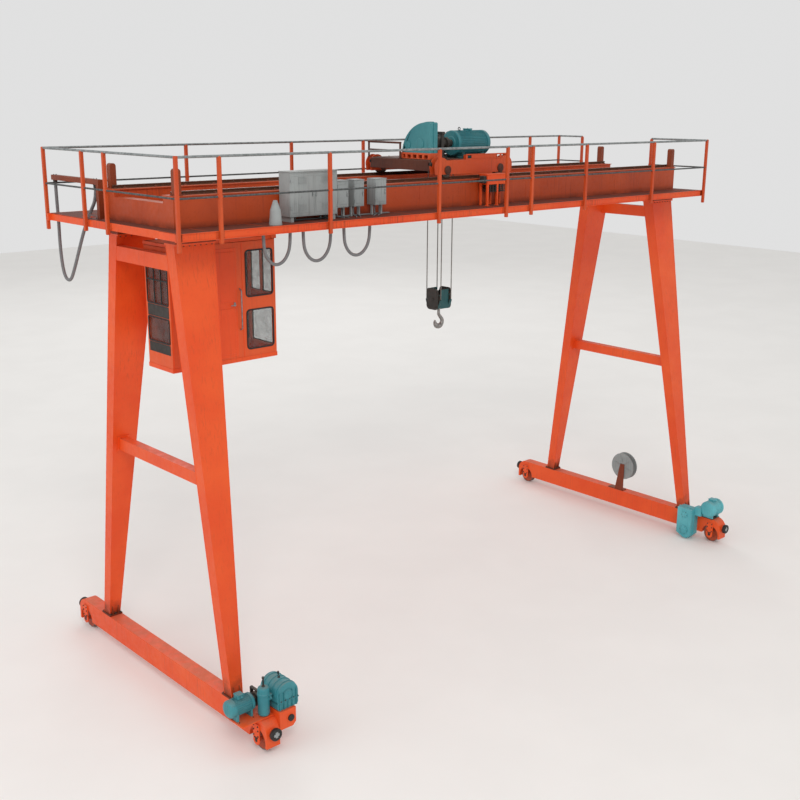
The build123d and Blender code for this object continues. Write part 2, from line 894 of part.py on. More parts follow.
with BuildPart() as gear_cover:
    left = trolley_x + gear_cover_left
    with BuildSketch(Plane.YZ.offset(left)):
        with BuildLine():
            start = (gear_cover_near, gear_cover_bottom)
            corner = (gear_cover_near, gear_cover_top)
            end_point = (gear_cover_far, gear_cover_bottom)
            Line(start, corner)
            flat = (gear_cover_near + 120, gear_cover_top)
            Line(corner, flat)
            ThreePointArc(flat, (gear_cover_far - 190, gear_cover_bottom + 480), end_point)
            Line(end_point, start)
        make_face()
    extrude(amount=gear_cover_width)
save(gear_cover.part, "gear_cover")

# Hook block with two sheaves, the four falls and the hook
with BuildPart() as hook_block:
    half = sheave_pitch / 2
    for x in (hook_x - half, hook_x + half):
        with BuildSketch(Plane.YZ.offset(x - sheave_width / 2)):
            with Locations((0, block_axis_z)):
                Circle(sheave_radius)
        extrude(amount=sheave_width)
    for x in (hook_x - half - sheave_width / 2 - block_cheek, hook_x + half + sheave_width / 2):
        with BuildSketch(Plane.YZ.offset(x)):
            with Locations((0, block_axis_z)):
                Rectangle(2 * sheave_radius - 60, 2 * block_cheek_radius)
        extrude(amount=block_cheek)
    block(
        (hook_x - half - sheave_width / 2 - block_cheek, hook_x + half + sheave_width / 2 + block_cheek),
        (-60, 60),
        (block_axis_z - 60, block_axis_z + 60),
    )
    block(
        (hook_x - half - sheave_width / 2, hook_x + half + sheave_width / 2),
        (-70, 70),
        (hook_seat_z, hook_seat_z + 80),
    )
    with BuildSketch(Plane.XY.offset(hook_seat_z)):
        with Locations((hook_x, 0)):
            Circle(hook_shank_radius + 0.5)
    extrude(amount=80, mode=Mode.SUBTRACT)
save(hook_block.part, "hook_block")

with BuildPart() as hook:
    with BuildLine() as hook_path:
        shank_top = (hook_x, 0, hook_seat_z + 78)
        neck = (hook_x, 0, hook_bowl_z + hook_bowl_radius + 60)
        side_point = (hook_x + hook_bowl_radius, 0, hook_bowl_z)
        bottom_point = (hook_x, 0, hook_bowl_z - hook_bowl_radius)
        tip_reach = hook_bowl_radius * cos(radians(20))
        tip_rise = hook_bowl_radius * sin(radians(20))
        tip = (hook_x - tip_reach, 0, hook_bowl_z + tip_rise)
        shank = Line(shank_top, neck)
        Spline(neck, side_point, tangents=[(0, 0, -1), (0, 0, -1)])
        ThreePointArc(side_point, bottom_point, tip)
    with BuildSketch(Plane(origin=shank_top, z_dir=(0, 0, -1))):
        Circle(hook_shank_radius)
    sweep()
save(hook.part, "hook")

with BuildPart() as hoist_ropes:
    rope_y = sheave_radius + rope_radius + seat_gap
    for x in (-1, 1):
        for y in (-1, 1):
            with BuildSketch(Plane.XY.offset(block_axis_z)):
                with Locations((hook_x + x * sheave_pitch / 2, y * rope_y)):
                    Circle(rope_radius)
            extrude(amount=rope_top - block_axis_z)
save(hoist_ropes.part, "hoist_ropes")


# Cables that hang free
def make_cable(points, radius, name):
    """A round cable along straight runs joined by tangent arcs; prints the arcs' radii."""
    vectors = [Vector(*point) for point in points]
    radii = []
    for before, here, after in zip(vectors, vectors[1:], vectors[2:]):
        arriving = here - before
        leaving = after - here
        turn = arriving.get_angle(leaving)
        shorter = min(arriving.length, leaving.length)
        radii.append(0.45 * shorter / tan(radians(turn) / 2))
    print(name, "smallest bend radius", round(min(radii)), "mm")
    with BuildPart() as cable:
        with BuildLine() as route:
            FilletPolyline(*points, radius=radii)
        start_direction = vectors[1] - vectors[0]
        with BuildSketch(Plane(origin=points[0], z_dir=start_direction)):
            Circle(radius)
        sweep()
    print(name, "length", round(route.wires()[0].length), "mm")
    return cable.part


arm_under = arm_height - arm_size / 2
long_loop_route = [
    (arm_x, 2830, arm_under),
    (arm_x, 2830, 8650),
    (arm_x, 2815, 8250),
    (arm_x, 2830, 7850),
    (arm_x, 2800, 7450),
    (arm_x, 2700, 7210),
    (arm_x, 2500, 7180),
    (arm_x, 2330, 7400),
    (arm_x, 2100, 7760),
    (arm_x, 1850, 8150),
    (arm_x, 1560, 8500),
    (arm_x, 1300, 8760),
    (arm_x, 1300, arm_under),
]
save(make_cable(long_loop_route, loop_cable_radius, "long_loop_cable"), "long_loop_cable")

festoon_y = -1560
festoon_spans = [(-5480, -4930, 7800), (-4660, -4060, 7790), (-3770, -3170, 7810)]
for number, (left, right, bottom) in enumerate(festoon_spans, start=1):
    width = right - left
    start_z = deck_top - deck_plate
    drop = start_z - bottom
    route = [
        (left, festoon_y, start_z),
        (left, festoon_y, start_z - 0.38 * drop),
        (left + 0.04 * width, festoon_y, start_z - 0.74 * drop),
        (left + 0.24 * width, festoon_y, bottom),
        (left + 0.5 * width, festoon_y, bottom - 0.08 * drop),
        (left + 0.76 * width, festoon_y, bottom + 0.02 * drop),
        (left + 0.95 * width, festoon_y, start_z - 0.72 * drop),
        (right, festoon_y, start_z - 0.36 * drop),
        (right, festoon_y, start_z),
    ]
    save(make_cable(route, festoon_radius, f"festoon_cable_{number}"), f"festoon_cable_{number}")
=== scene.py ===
"""A gantry crane's looks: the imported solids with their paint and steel, and the detail around them."""
import math
from functools import partial
import bmesh
import bpy
import numpy as np
from mathutils import Matrix, Vector


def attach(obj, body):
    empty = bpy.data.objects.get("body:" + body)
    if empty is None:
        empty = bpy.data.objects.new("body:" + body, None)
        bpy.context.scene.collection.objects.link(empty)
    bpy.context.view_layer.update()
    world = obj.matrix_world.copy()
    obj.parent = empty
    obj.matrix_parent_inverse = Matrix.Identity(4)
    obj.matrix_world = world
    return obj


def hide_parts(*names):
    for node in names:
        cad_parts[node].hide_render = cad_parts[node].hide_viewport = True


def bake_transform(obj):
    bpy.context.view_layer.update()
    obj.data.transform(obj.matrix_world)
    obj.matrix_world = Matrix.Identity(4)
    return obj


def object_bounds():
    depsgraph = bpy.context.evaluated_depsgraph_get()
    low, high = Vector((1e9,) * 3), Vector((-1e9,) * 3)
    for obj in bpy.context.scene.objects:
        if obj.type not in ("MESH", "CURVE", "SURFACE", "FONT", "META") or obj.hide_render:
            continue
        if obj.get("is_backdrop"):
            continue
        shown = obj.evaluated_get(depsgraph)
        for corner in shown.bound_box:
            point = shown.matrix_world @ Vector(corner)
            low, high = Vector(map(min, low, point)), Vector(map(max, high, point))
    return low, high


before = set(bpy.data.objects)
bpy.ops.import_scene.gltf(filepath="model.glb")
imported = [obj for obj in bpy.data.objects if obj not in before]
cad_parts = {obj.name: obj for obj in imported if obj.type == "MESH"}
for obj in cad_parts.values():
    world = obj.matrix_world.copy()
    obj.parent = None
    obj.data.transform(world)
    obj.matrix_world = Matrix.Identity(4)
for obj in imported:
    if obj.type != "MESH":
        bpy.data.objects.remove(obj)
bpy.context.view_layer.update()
scene = bpy.context.scene

# Camera and light

def add_camera():
    """The photograph's view: place, heading, tilt and lens solved from the crane's straight edges."""
    heading, tilt, roll = (math.radians(a) for a in (47.435, 15.081, 0.313))
    level_way = (math.cos(heading), math.sin(heading))
    look = Vector((level_way[0] * math.cos(tilt), level_way[1] * math.cos(tilt), -math.sin(tilt)))
    level = Vector((math.sin(heading), -math.cos(heading), 0.0))
    rise = level.cross(look)
    right = math.cos(roll) * level + math.sin(roll) * rise
    up = math.cos(roll) * rise - math.sin(roll) * level
    data = bpy.data.cameras.new("camera")
    data.sensor_width = 36.0
    data.lens = 36.0 * 1098.35 / 800.0
    data.clip_start, data.clip_end = 0.5, 400.0
    camera = bpy.data.objects.new("camera", data)
    scene.collection.objects.link(camera)
    camera.matrix_world = Matrix.Translation((-16.039, -16.388, 10.357)) @ Matrix(
        ((right.x, up.x, -look.x), (right.y, up.y, -look.y), (right.z, up.z, -look.z))
    ).to_4x4()
    scene.camera = camera


def add_light(name, size, power, place, target, colour):
    """A square area light at a place, turned to a target."""
    data = bpy.data.lights.new(name, "AREA")
    data.shape = "SQUARE"
    data.size = size
    data.energy = power
    data.color = colour
    light = bpy.data.objects.new(name, data)
    scene.collection.objects.link(light)
    light.location = place
    light.rotation_mode = "QUATERNION"
    light.rotation_quaternion = (Vector(target) - Vector(place)).to_track_quat("-Z", "Y")


def add_world(strength):
    """An even white sky that fills the shadows."""
    world = bpy.data.worlds.new("sky")
    world.use_nodes = True
    sky = world.node_tree.nodes["Background"]
    sky.inputs["Color"].default_value = (1.0, 1.0, 1.0, 1.0)
    sky.inputs["Strength"].default_value = strength
    scene.world = world


scene.view_settings.view_transform = "Standard"
add_camera()
add_world(0.75)
add_light("key", 16.0, 5200.0, (-22.0, -30.0, 34.0), (0.0, 0.0, 5.0), (1.0, 0.98, 0.95))
add_light("fill", 20.0, 1500.0, (-34.0, 6.0, 20.0), (0.0, 0.0, 5.0), (0.95, 0.97, 1.0))
add_light("back", 18.0, 1800.0, (20.0, 34.0, 26.0), (0.0, 0.0, 6.0), (1.0, 1.0, 1.0))


# Materials

def srgb(code):
    """A code of six hex digits as a linear colour: below 0.04045 a share of 12.92, above it a power."""
    shares = (int(code[i:i + 2], 16) / 255.0 for i in (0, 2, 4))
    return (*(c / 12.92 if c <= 0.04045 else ((c + 0.055) / 1.055) ** 2.4 for c in shares), 1.0)


def fill(target, inputs):
    """Fills a node's sockets, given in their order or by name, with values or with links."""
    for key, value in (inputs.items() if isinstance(inputs, dict) else enumerate(inputs)):
        if isinstance(value, bpy.types.NodeSocket):
            target.id_data.links.new(value, target.inputs[key])
        else:
            target.inputs[key].default_value = value


def add_node(material, kind, inputs=(), result=0, **settings):
    """Adds a shader node to a material, sets its properties, fills its sockets and gives one result."""
    made = material.node_tree.nodes.new("ShaderNode" + kind)
    for key, value in settings.items():
        setattr(made, key, value)
    fill(made, inputs)
    return made.outputs[result]


def tools(material):
    """A material's way to add a node, the object's coordinates in metres and the shader."""
    node = partial(add_node, material)
    return node, node("TexCoord", (), "Object"), material.node_tree.nodes["Principled BSDF"]


def new_material(name):
    """An empty material, with its tools."""
    material = bpy.data.materials.new(name)
    material.use_nodes = True
    return material, *tools(material)


def clouds(node, place, size, detail=4.0, rough=0.55, height=1.0):
    """Cloudy noise whose blobs are size metres across, and that many times height tall."""
    scale = (1.0 / size, 1.0 / size, 1.0 / (size * height))
    mapped = node("Mapping", {"Vector": place, "Scale": scale})
    return node("TexNoise", {"Vector": mapped, "Scale": 1.0, "Detail": detail, "Roughness": rough}, "Fac")


def laid_over(node, colour, *coats):
    """A colour with others laid over it in turn, each by its own share."""
    for share, tone in coats:
        colour = node("Mix", {0: share, 6: colour, 7: srgb(tone)}, 2, data_type="RGBA")
    return colour


def painted_steel(name, paint, faded, shade, roughness=0.42, grime=0.5, rust=0.35):
    """Brushed paint on steel: faded patches of 1.2 m, rain streaks 25 mm wide and 0.9 m long, grime
    that gathers in 60 mm clouds, dust on faces that look up, and rust specks of 12 mm."""
    material, node, place, shader = new_material(name)
    patches = node("MapRange", (clouds(node, place, 1.2, 3.0), 0.38, 0.66))
    streaks = node("MapRange", (clouds(node, place, 0.025, 3.0, 0.6, 36.0), 0.52, 0.72))
    streaked = node("MapRange", (clouds(node, place, 0.8, 2.0), 0.42, 0.62, 0.0, grime))
    grimy = node("MapRange", (clouds(node, place, 0.06, 6.0, 0.65), 0.56, 0.78, 0.0, 0.55 * grime))
    up = node("SeparateXYZ", (node("NewGeometry", (), "Normal"),), "Z")
    level = node("MapRange", (up, 0.5, 0.95, 0.0, 0.55))
    dusty = node("MapRange", (clouds(node, place, 0.25, 4.0), 0.3, 0.6))
    dust = node("Math", (level, dusty), operation="MULTIPLY")
    specks = node("MapRange", (clouds(node, place, 0.012, 4.0, 0.6), 0.66, 0.72, 0.0, rust))
    speckled = node("MapRange", (clouds(node, place, 0.5, 2.0), 0.5, 0.6))
    colour = laid_over(node, srgb(paint), (patches, faded),
                       (node("Math", (streaks, streaked), operation="MULTIPLY"), shade), (grimy, shade),
                       (node("Math", (dust, 0.6), operation="MULTIPLY"), "8a7a6a"),
                       (node("Math", (specks, speckled), operation="MULTIPLY"), "4a2414"))
    rough = clouds(node, place, 0.09, 4.0)
    rough = node("MapRange", (rough, 0.3, 0.7, roughness - 0.08, roughness + 0.14))
    waves, grain = clouds(node, place, 0.35, 3.0), clouds(node, place, 0.004, 2.0)
    height = node("Math", (grain, 0.08, waves), operation="MULTIPLY_ADD")
    fill(shader, {
        "Base Color": colour, "Roughness": node("Math", (dust, 0.4, rough), operation="MULTIPLY_ADD"),
        "Coat Weight": 0.06, "Coat Roughness": 0.35, "Specular IOR Level": 0.35,
        "Normal": node("Bump", {"Height": height, "Strength": 0.35, "Distance": 0.004})})
    return material


def bare_steel(name, light, dark, roughness=0.45, metal=0.9, blob=0.05):
    """Unpainted metal: two tones in clouds, with finer roughness in it and a shallow bump."""
    material, node, place, shader = new_material(name)
    share = node("MapRange", (clouds(node, place, blob, 6.0, 0.6), 0.36, 0.66))
    fine = node("MapRange", (clouds(node, place, blob / 6.0, 4.0, 0.6), 0.4, 0.7, 0.0, 0.6))
    height = clouds(node, place, blob / 5.0, 4.0)
    fill(shader, {
        "Base Color": laid_over(node, srgb(light), (share, dark), (fine, dark)), "Metallic": metal,
        "Roughness": node("MapRange", (share, 0.0, 1.0, roughness - 0.06, roughness + 0.16)),
        "Normal": node("Bump", {"Height": height, "Strength": 0.4, "Distance": 0.0015})})
    return material


def rusty_rail(name):
    """A crane rail: brown rust in 20 mm clouds, and a head that the wheels keep bright on its top."""
    material, node, place, shader = new_material(name)
    rust = node("MapRange", (clouds(node, place, 0.02, 6.0, 0.65), 0.35, 0.65))
    head = node("MapRange", (node("SeparateXYZ", (place,), "Z"), 8.998, 9.0))
    rubbed = node("MapRange", (clouds(node, place, 0.03, 3.0), 0.3, 0.5))
    worn = node("Math", (head, rubbed), operation="MULTIPLY")
    fill(shader, {
        "Base Color": laid_over(node, srgb("3a2114"), (rust, "6b3f26"), (worn, "8f8a84")),
        "Metallic": worn, "Roughness": node("MapRange", (worn, 0.0, 1.0, 0.85, 0.32)),
        "Normal": node("Bump", {"Height": clouds(node, place, 0.006, 5.0), "Strength": 0.5,
                                "Distance": 0.001})})
    return material


def masked(material, share, tone, metal, roughness):
    """Lays a second finish over a material where the share is one."""
    node, place, shader = tools(material)
    colour, rough = (shader.inputs[key].links[0].from_socket for key in ("Base Color", "Roughness"))
    fill(shader, {
        "Base Color": laid_over(node, colour, (share, tone)),
        "Metallic": node("Math", (share, metal), operation="MULTIPLY"),
        "Roughness": node("Mix", {0: share, 2: rough, 3: roughness})})
    return material


def deck_plate(name, paint, faded):
    """Painted floor plate, dark where feet go, with lozenges 30 mm apart and 1.5 mm high on its top and
    bottom: the product of two sines that run along x + y and x - y."""
    material = painted_steel(name, paint, faded, "5a2c1c", 0.5, 0.7, 0.5)
    node, place, shader = tools(material)
    x, y = node("SeparateXYZ", (place,), "X"), node("SeparateXYZ", (place,), "Y")
    waves = []
    for way in ("ADD", "SUBTRACT"):
        run = node("Math", (node("Math", (x, y), operation=way), 148.0), operation="MULTIPLY")
        waves.append(node("Math", (run,), operation="SINE"))
    lozenge = node("MapRange", (node("Math", waves, operation="MULTIPLY"), 0.25, 0.6))
    up = node("SeparateXYZ", (node("NewGeometry", (), "Normal"),), "Z")
    uneven = node("Math", (clouds(node, place, 0.4), 0.12, up), operation="MULTIPLY_ADD")
    masked(material, node("MapRange", (uneven, 0.85, 0.98, 0.0, 0.85)), "3d2219", 0.0, 0.8)
    flat = node("MapRange", (node("Math", (up,), operation="ABSOLUTE"), 0.8, 0.95))
    height = node("Math", (lozenge, flat), operation="MULTIPLY")
    fill(shader, {"Normal": node("Bump", {"Height": height, "Strength": 0.8, "Distance": 0.0015})})
    return material


def tinted_glass(name, tint):
    """Window glass: a thin smooth sheet that shows what is behind it, with a faint uneven film of dust."""
    material, node, place, shader = new_material(name)
    film = node("MapRange", (clouds(node, place, 0.12, 5.0), 0.35, 0.75, 0.03, 0.16))
    fill(shader, {
        "Base Color": laid_over(node, srgb(tint), (film, "b9b4a8")),
        "Roughness": node("MapRange", (clouds(node, place, 0.03, 3.0), 0.3, 0.7, 0.05, 0.14)),
        "Alpha": node("Math", (film, 0.16), operation="ADD")})
    return material


def rubber(name, colour, pale):
    """Matt rubber or plastic sheath, scuffed in 30 mm clouds and powdered with dust."""
    material, node, place, shader = new_material(name)
    share = node("MapRange", (clouds(node, place, 0.03, 5.0), 0.45, 0.75, 0.0, 0.5))
    fill(shader, {
        "Base Color": laid_over(node, srgb(colour), (share, pale)),
        "Roughness": node("MapRange", (share, 0.0, 0.5, 0.5, 0.8)),
        "Normal": node("Bump", {"Height": clouds(node, place, 0.004, 3.0), "Strength": 0.3,
                                "Distance": 0.0005})})
    return material


def travel_wheel(name):
    """Painted wheel sides and a bare tread: bare where the distance from the axle is over 184 mm."""
    material = painted_steel(name, "a8452c", "b3512f", "43281c", 0.5, 0.7, 0.6)
    node, place, shader = tools(material)
    y = node("Math", (node("SeparateXYZ", (place,), "Y"),), operation="ABSOLUTE")
    squares = []
    for part, middle in ((y, WHEEL_Y), (node("SeparateXYZ", (place,), "Z"), WHEEL_Z)):
        far = node("Math", (part, middle), operation="SUBTRACT")
        squares.append(node("Math", (far, far), operation="MULTIPLY"))
    far = node("Math", (node("Math", squares, operation="ADD"),), operation="SQRT")
    return masked(material, node("MapRange", (far, 0.183, 0.186)), "75716c", 0.85, 0.35)


def shaded_girder_paint(name):
    """Girder paint, darker than the legs' orange as painted shade of the deck and handrails over the web, and
    a painted shadow on the web's lowest 100 mm above the deck.
    """
    # The base colours are darker than the legs' orange: painted shade of the deck and handrails over the web.
    material = painted_steel(name, "b04014", "bf4a1a", "6a2812", 0.45, 0.6)
    node, place, shader = tools(material)
    # Painted shadow on the web's lowest 100 mm above the deck, patchy in 0.3 m clouds.
    low = node("MapRange", (node("SeparateXYZ", (place,), "Z"), 8.43, 8.53, 0.6, 0.0))
    uneven = node("MapRange", (clouds(node, place, 0.3), 0.25, 0.5))
    return masked(material, node("Math", (low, uneven), operation="MULTIPLY"), "3c1e14", 0.0, 0.75)


def soiled_leg(name):
    """Leg paint: dark brown on the foot's flange below 0.64 m, with dirt that fades out by 0.95 m."""
    material = painted_steel(name, "e44d18", "ec5b22", "b04420", 0.42, 0.4)
    node, place, shader = tools(material)
    height = node("SeparateXYZ", (place,), "Z")
    uneven = node("MapRange", (clouds(node, place, 0.15), 0.3, 0.7, -0.1, 0.1))
    flange = node("MapRange", (height, 0.632, 0.64, 0.9, 0.0))
    splashed = node("MapRange", (node("Math", (height, uneven), operation="ADD"), 0.64, 0.95, 0.75, 0.0))
    return masked(material, node("Math", (flange, splashed), operation="MAXIMUM"), "45200f", 0.0, 0.7)


def laid_rope(name):
    """Wire rope: the wires of a strand as sloping bands 6 mm apart, in greasy steel with dark clouds."""
    material, node, place, shader = new_material(name)
    x, y, z = (node("SeparateXYZ", (place,), axis) for axis in "XYZ")
    slope = node("Math", (node("Math", (x, y), operation="ADD"), 1.2, z), operation="MULTIPLY_ADD")
    band = node("Math", (node("Math", (slope, 1047.0), operation="MULTIPLY"),), operation="SINE")
    share = node("Math", (band, 0.3, clouds(node, place, 0.08)), operation="MULTIPLY_ADD")
    fill(shader, {
        "Base Color": laid_over(node, srgb("5c5854"), (node("MapRange", (share, 0.2, 0.9)), "9a958f")),
        "Metallic": 0.6, "Roughness": 0.5,
        "Normal": node("Bump", {"Height": band, "Strength": 0.3, "Distance": 0.0005})})
    return material


WHEEL_Y, WHEEL_Z = 2.98, 0.2
ORANGE = painted_steel("orange_paint", "e44d18", "ec5b22", "b04420", 0.42, 0.4)
LEG = soiled_leg("leg_paint")
TEAL = painted_steel("teal_paint", "28747d", "428a90", "1f3c3e", 0.4, 0.6)
GREY = painted_steel("grey_paint", "8f9494", "a3a8a7", "55544e", 0.48, 0.5, 0.25)
PIPE = bare_steel("galvanised_pipe", "a9adad", "7d8282", 0.5, 0.75, 0.06)
DARK = painted_steel("dark_steel", "2c2926", "3b3733", "15120f", 0.55, 0.6, 0.5)
WHEEL = bare_steel("wheel_steel", "6b625a", "3d332c", 0.5, 0.8, 0.04)
RAIL = rusty_rail("rail_steel")
DECK = deck_plate("deck_plate", "de4a18", "e4571f")
GLASS = tinted_glass("cab_glass", "4b5a5a")
TRAVEL_WHEEL = travel_wheel("travel_wheel")
# Girder and end-beam paint, with painted shade on the webs.
GIRDER = shaded_girder_paint("girder_paint_and_shade")
CAB_PAINT = painted_steel("cab_paint", "dc5320", "e25e2c", "a64a2c", 0.42, 0.4)
MID_PIPE = bare_steel("middle_pipe", "6f7272", "484a49", 0.6, 0.6, 0.05)
SEAL_RUBBER = rubber("seal_rubber", "121212", "2b2a28")
BUFFER = rubber("buffer_rubber", "1a1918", "3c3a36")
CLIP = painted_steel("clip_paint", "6e3422", "80402a", "35190f", 0.5, 0.6, 0.6)
GREASY = bare_steel("greased_steel", "4a4540", "241f1b", 0.42, 0.75, 0.04)
DEEP_TEAL = painted_steel("deep_teal", "1d4c4f", "285d5f", "0f2829", 0.45, 0.6)
HOOK_STEEL = bare_steel("hook_steel", "b0adaa", "75726f", 0.45, 0.6, 0.04)
CABLE = rubber("cable_sheath", "6f6f71", "8c8b89")
ROPE = laid_rope("wire_rope")
BROWN = painted_steel("brown_paint", "7a3114", "8a3d1c", "3a1c10", 0.5, 0.6, 0.5)
POST_PAINT = painted_steel("post_paint", "c0451a", "cc5122", "7c3318", 0.45, 0.5)
TROLLEY_BROWN = painted_steel("trolley_brown", "4a2214", "5a2c1a", "1f120c", 0.55, 0.6, 0.5)
DRIVE_TEAL = painted_steel("drive_teal", "33808a", "4d9ba2", "1f4045", 0.4, 0.55)
PALE_TEAL = painted_steel("pale_teal", "429ba6", "68bcc4", "2a5a60", 0.4, 0.5)

FINISH = {node: material for material, nodes in (
    (RAIL, ("near_rail", "far_rail")),
    (DECK, ("near_walkway", "far_walkway", "left_end_walkway", "right_end_walkway")),
    (GREY, ("control_cabinets", "horn")),
    (GIRDER, ("near_girder", "far_girder", "left_end_beam", "right_end_beam")),
    (LEG, ("left_near_leg", "left_far_leg", "right_near_leg", "right_far_leg")),
    (BROWN, ("reel_stand", "cable_arm", "left_end_stops", "right_end_stops")),
    (CAB_PAINT, ("cab_roof",)),
    (WHEEL, ("left_trolley_axle", "right_trolley_axle")),
    (TRAVEL_WHEEL, ("left_front_wheel", "left_back_wheel", "right_front_wheel", "right_back_wheel")),
) for node in nodes}
for name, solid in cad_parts.items():
    solid.data.materials.clear()
    solid.data.materials.append(FINISH.get(name, ORANGE))


# Shapes: each is its points, its quads and the caps that close its ends, worked out as whole arrays

def circle(count, turn=0.0):
    """Points on a unit circle: the cosine and sine of equal steps."""
    angle = turn + np.arange(count) * (2 * np.pi / count)
    return np.c_[np.cos(angle), np.sin(angle)]


def skin(rings, loop=False):
    """A skin over rings with the same number of points: a quad between each point, its neighbour and
    the same two on the next ring. A loop of rings closes on itself, and other rings get two caps."""
    count, size = rings.shape[:2]
    i, j = np.meshgrid(np.arange(count if loop else count - 1), np.arange(size), indexing="ij")
    after, across = (i + 1) % count, (j + 1) % size
    corners = (i * size + j, i * size + across, after * size + across, after * size + j)
    caps = [] if loop else [np.arange(size)[::-1], np.arange(size) + (count - 1) * size]
    return rings.reshape(-1, 3), np.stack(corners, -1).reshape(-1, 4), caps


def join(*shapes):
    """Several shapes as one: their points in one list, and their faces counted on from it."""
    starts = np.cumsum([0] + [len(points) for points, quads, caps in shapes])
    points = np.vstack([shape[0] for shape in shapes])
    quads = np.vstack([shape[1] + start for shape, start in zip(shapes, starts)])
    caps = [cap + start for shape, start in zip(shapes, starts) for cap in shape[2]]
    return points, quads, caps


def copies(shape, places):
    """The shape once at each place: its points plus the place."""
    points, quads, caps = shape
    places = np.asarray(places, float).reshape(-1, 3)
    starts = len(points) * np.arange(len(places))
    quads = (quads[None] + starts[:, None, None]).reshape(-1, 4)
    return (points[None] + places[:, None]).reshape(-1, 3), quads, [cap + s for s in starts for cap in caps]


def facing(shape, axis):
    """The shape with its z turned to +x, -x, +y, -y, +z or -z, by rolling its columns round."""
    points, quads, caps = shape
    if axis[0] == "-":
        points = points * (-1, 1, -1)
    return np.roll(points, {"x": 1, "y": 2, "z": 0}[axis[1]], axis=1), quads, caps


def bar(low, high, edge=0.004):
    """A bar with chamfered edges: four rings of eight points along its longest side, each a rectangle
    with its corners cut, and the two outer ones drawn in by the chamfer."""
    low, high = np.asarray(low, float), np.asarray(high, float)
    middle, half = (low + high) / 2, np.abs(high - low) / 2
    long_axis = int(np.argmax(half))
    across = [axis for axis in range(3) if axis != long_axis]
    signs = np.array([(1, 1), (1, 1), (1, -1), (1, -1), (-1, -1), (-1, -1), (-1, 1), (-1, 1)])
    cut = edge * np.array([(1, 0), (0, 1), (0, 1), (1, 0), (1, 0), (0, 1), (0, 1), (1, 0)])
    rings = np.zeros((4, 8, 3))
    for ring, end, inset in ((0, -1, edge), (1, -1, 0.0), (2, 1, 0.0), (3, 1, edge)):
        rings[ring, :, long_axis] = end * (half[long_axis] - edge + inset)
        rings[ring][:, across] = signs * (half[across] - inset - cut)
    return skin(rings + middle)


def lathe(profile, sides=32, loop=False):
    """A turned form about z: each height and radius of the profile is a ring. A loop has a hole."""
    profile = np.asarray(profile, float)
    ring = circle(sides)
    rings = np.zeros((len(profile), sides, 3))
    rings[..., :2] = ring[None] * profile[:, 1, None, None]
    rings[..., 2] = profile[:, 0, None]
    return skin(rings, loop)


def pipe(line, radius, sides=12, loop=False, flat=None):
    """A round pipe along a line of points. Each ring lies across the mean of the two runs beside it,
    and is widened by one over the cosine of half the turn, so that the pipe keeps its thickness."""
    line = np.asarray(line, float)
    before = line - np.roll(line, 1, axis=0)
    after = np.roll(line, -1, axis=0) - line
    if not loop:
        before[0], after[-1] = after[0], before[-1]
    before /= np.linalg.norm(before, axis=1)[:, None]
    after /= np.linalg.norm(after, axis=1)[:, None]
    along = before + after
    along /= np.linalg.norm(along, axis=1)[:, None]
    up = np.eye(3)[int(np.argmin(np.abs(along).max(axis=0)))] if flat is None else np.asarray(flat, float)
    side = np.cross(along, up)
    side /= np.linalg.norm(side, axis=1)[:, None]
    top = np.cross(side, along)
    wide = 1.0 / np.sqrt((1.0 + (before * after).sum(axis=1)) / 2.0)
    ring = circle(sides) * np.reshape(radius, (-1, 1, 1))
    rings = line[:, None] + ring[..., :1] * (side * wide[:, None])[:, None] + ring[..., 1:] * top[:, None]
    return skin(rings, loop)


def bolt(size):
    """A bolt head on its washer, standing on z = 0: a round washer, a hexagon with a chamfered top and
    the end of the thread, in the usual shares of the thread's diameter."""
    washer = lathe([(0.0, 1.1 * size), (0.12 * size, 1.1 * size), (0.15 * size, 1.0 * size)], 12)
    head = lathe([(0.15 * size, 0.87 * size), (0.66 * size, 0.87 * size), (0.78 * size, 0.74 * size)], 6)
    thread = lathe([(0.78 * size, 0.46 * size), (1.1 * size, 0.46 * size), (1.18 * size, 0.38 * size)], 8)
    return join(washer, head, thread)


def bolts(size, places, axis="+z"):
    """The same bolt at many places, all facing one way."""
    return copies(facing(bolt(size), axis), places)


def rounded_frame(x_limits, z_limits, corner, thick, depth):
    """A frame round a window that lies in x and z: the window's outline with quarter circles at its
    corners, carrying a rectangular section of that thickness and depth."""
    outline = []
    for quarter, (sign_x, sign_z) in enumerate(((1, 1), (-1, 1), (-1, -1), (1, -1))):
        bend = arc((0.0, 0.0), 1.0, 90.0 * quarter, 90.0 * quarter + 90.0, 7)
        centre = (x_limits[sign_x > 0] - sign_x * corner, z_limits[sign_z > 0] - sign_z * corner)
        outline.append(np.c_[bend, np.tile(centre, (len(bend), 1))])
    outline = np.vstack(outline)
    section = np.array(((-1, -1), (1, -1), (1, 1), (-1, 1))) * (thick / 2, depth / 2)
    rings = np.zeros((len(outline), 4, 3))
    for index, (out, deep) in enumerate(section):
        rings[:, index, 0] = outline[:, 2] + outline[:, 0] * (corner + out)
        rings[:, index, 1] = deep
        rings[:, index, 2] = outline[:, 3] + outline[:, 1] * (corner + out)
    return skin(rings, loop=True)


def moved(shape, place):
    """The shape with the place added to its points."""
    return shape[0] + np.asarray(place, float), shape[1], shape[2]


def at(shape, axis, place):
    """The shape with its z turned to an axis and then moved to a place."""
    return moved(facing(shape, axis), place)


def toward(axis, sign):
    """An axis's name with the sign of a number before it."""
    return ("+" if sign > 0 else "-") + axis


def hoop(radius, thick, steps, sides=8, height=0.0):
    """A ring of pipe that lies flat round z."""
    line = np.c_[circle(steps) * radius, np.full(steps, height)]
    return pipe(line, thick, sides, loop=True, flat=(0, 0, 1))


def turned_flat(shape):
    """The shape turned a quarter about z, so that what lay along x lies along y."""
    points, quads, caps = shape
    return points[:, [1, 0, 2]] * (-1, 1, 1), quads, caps


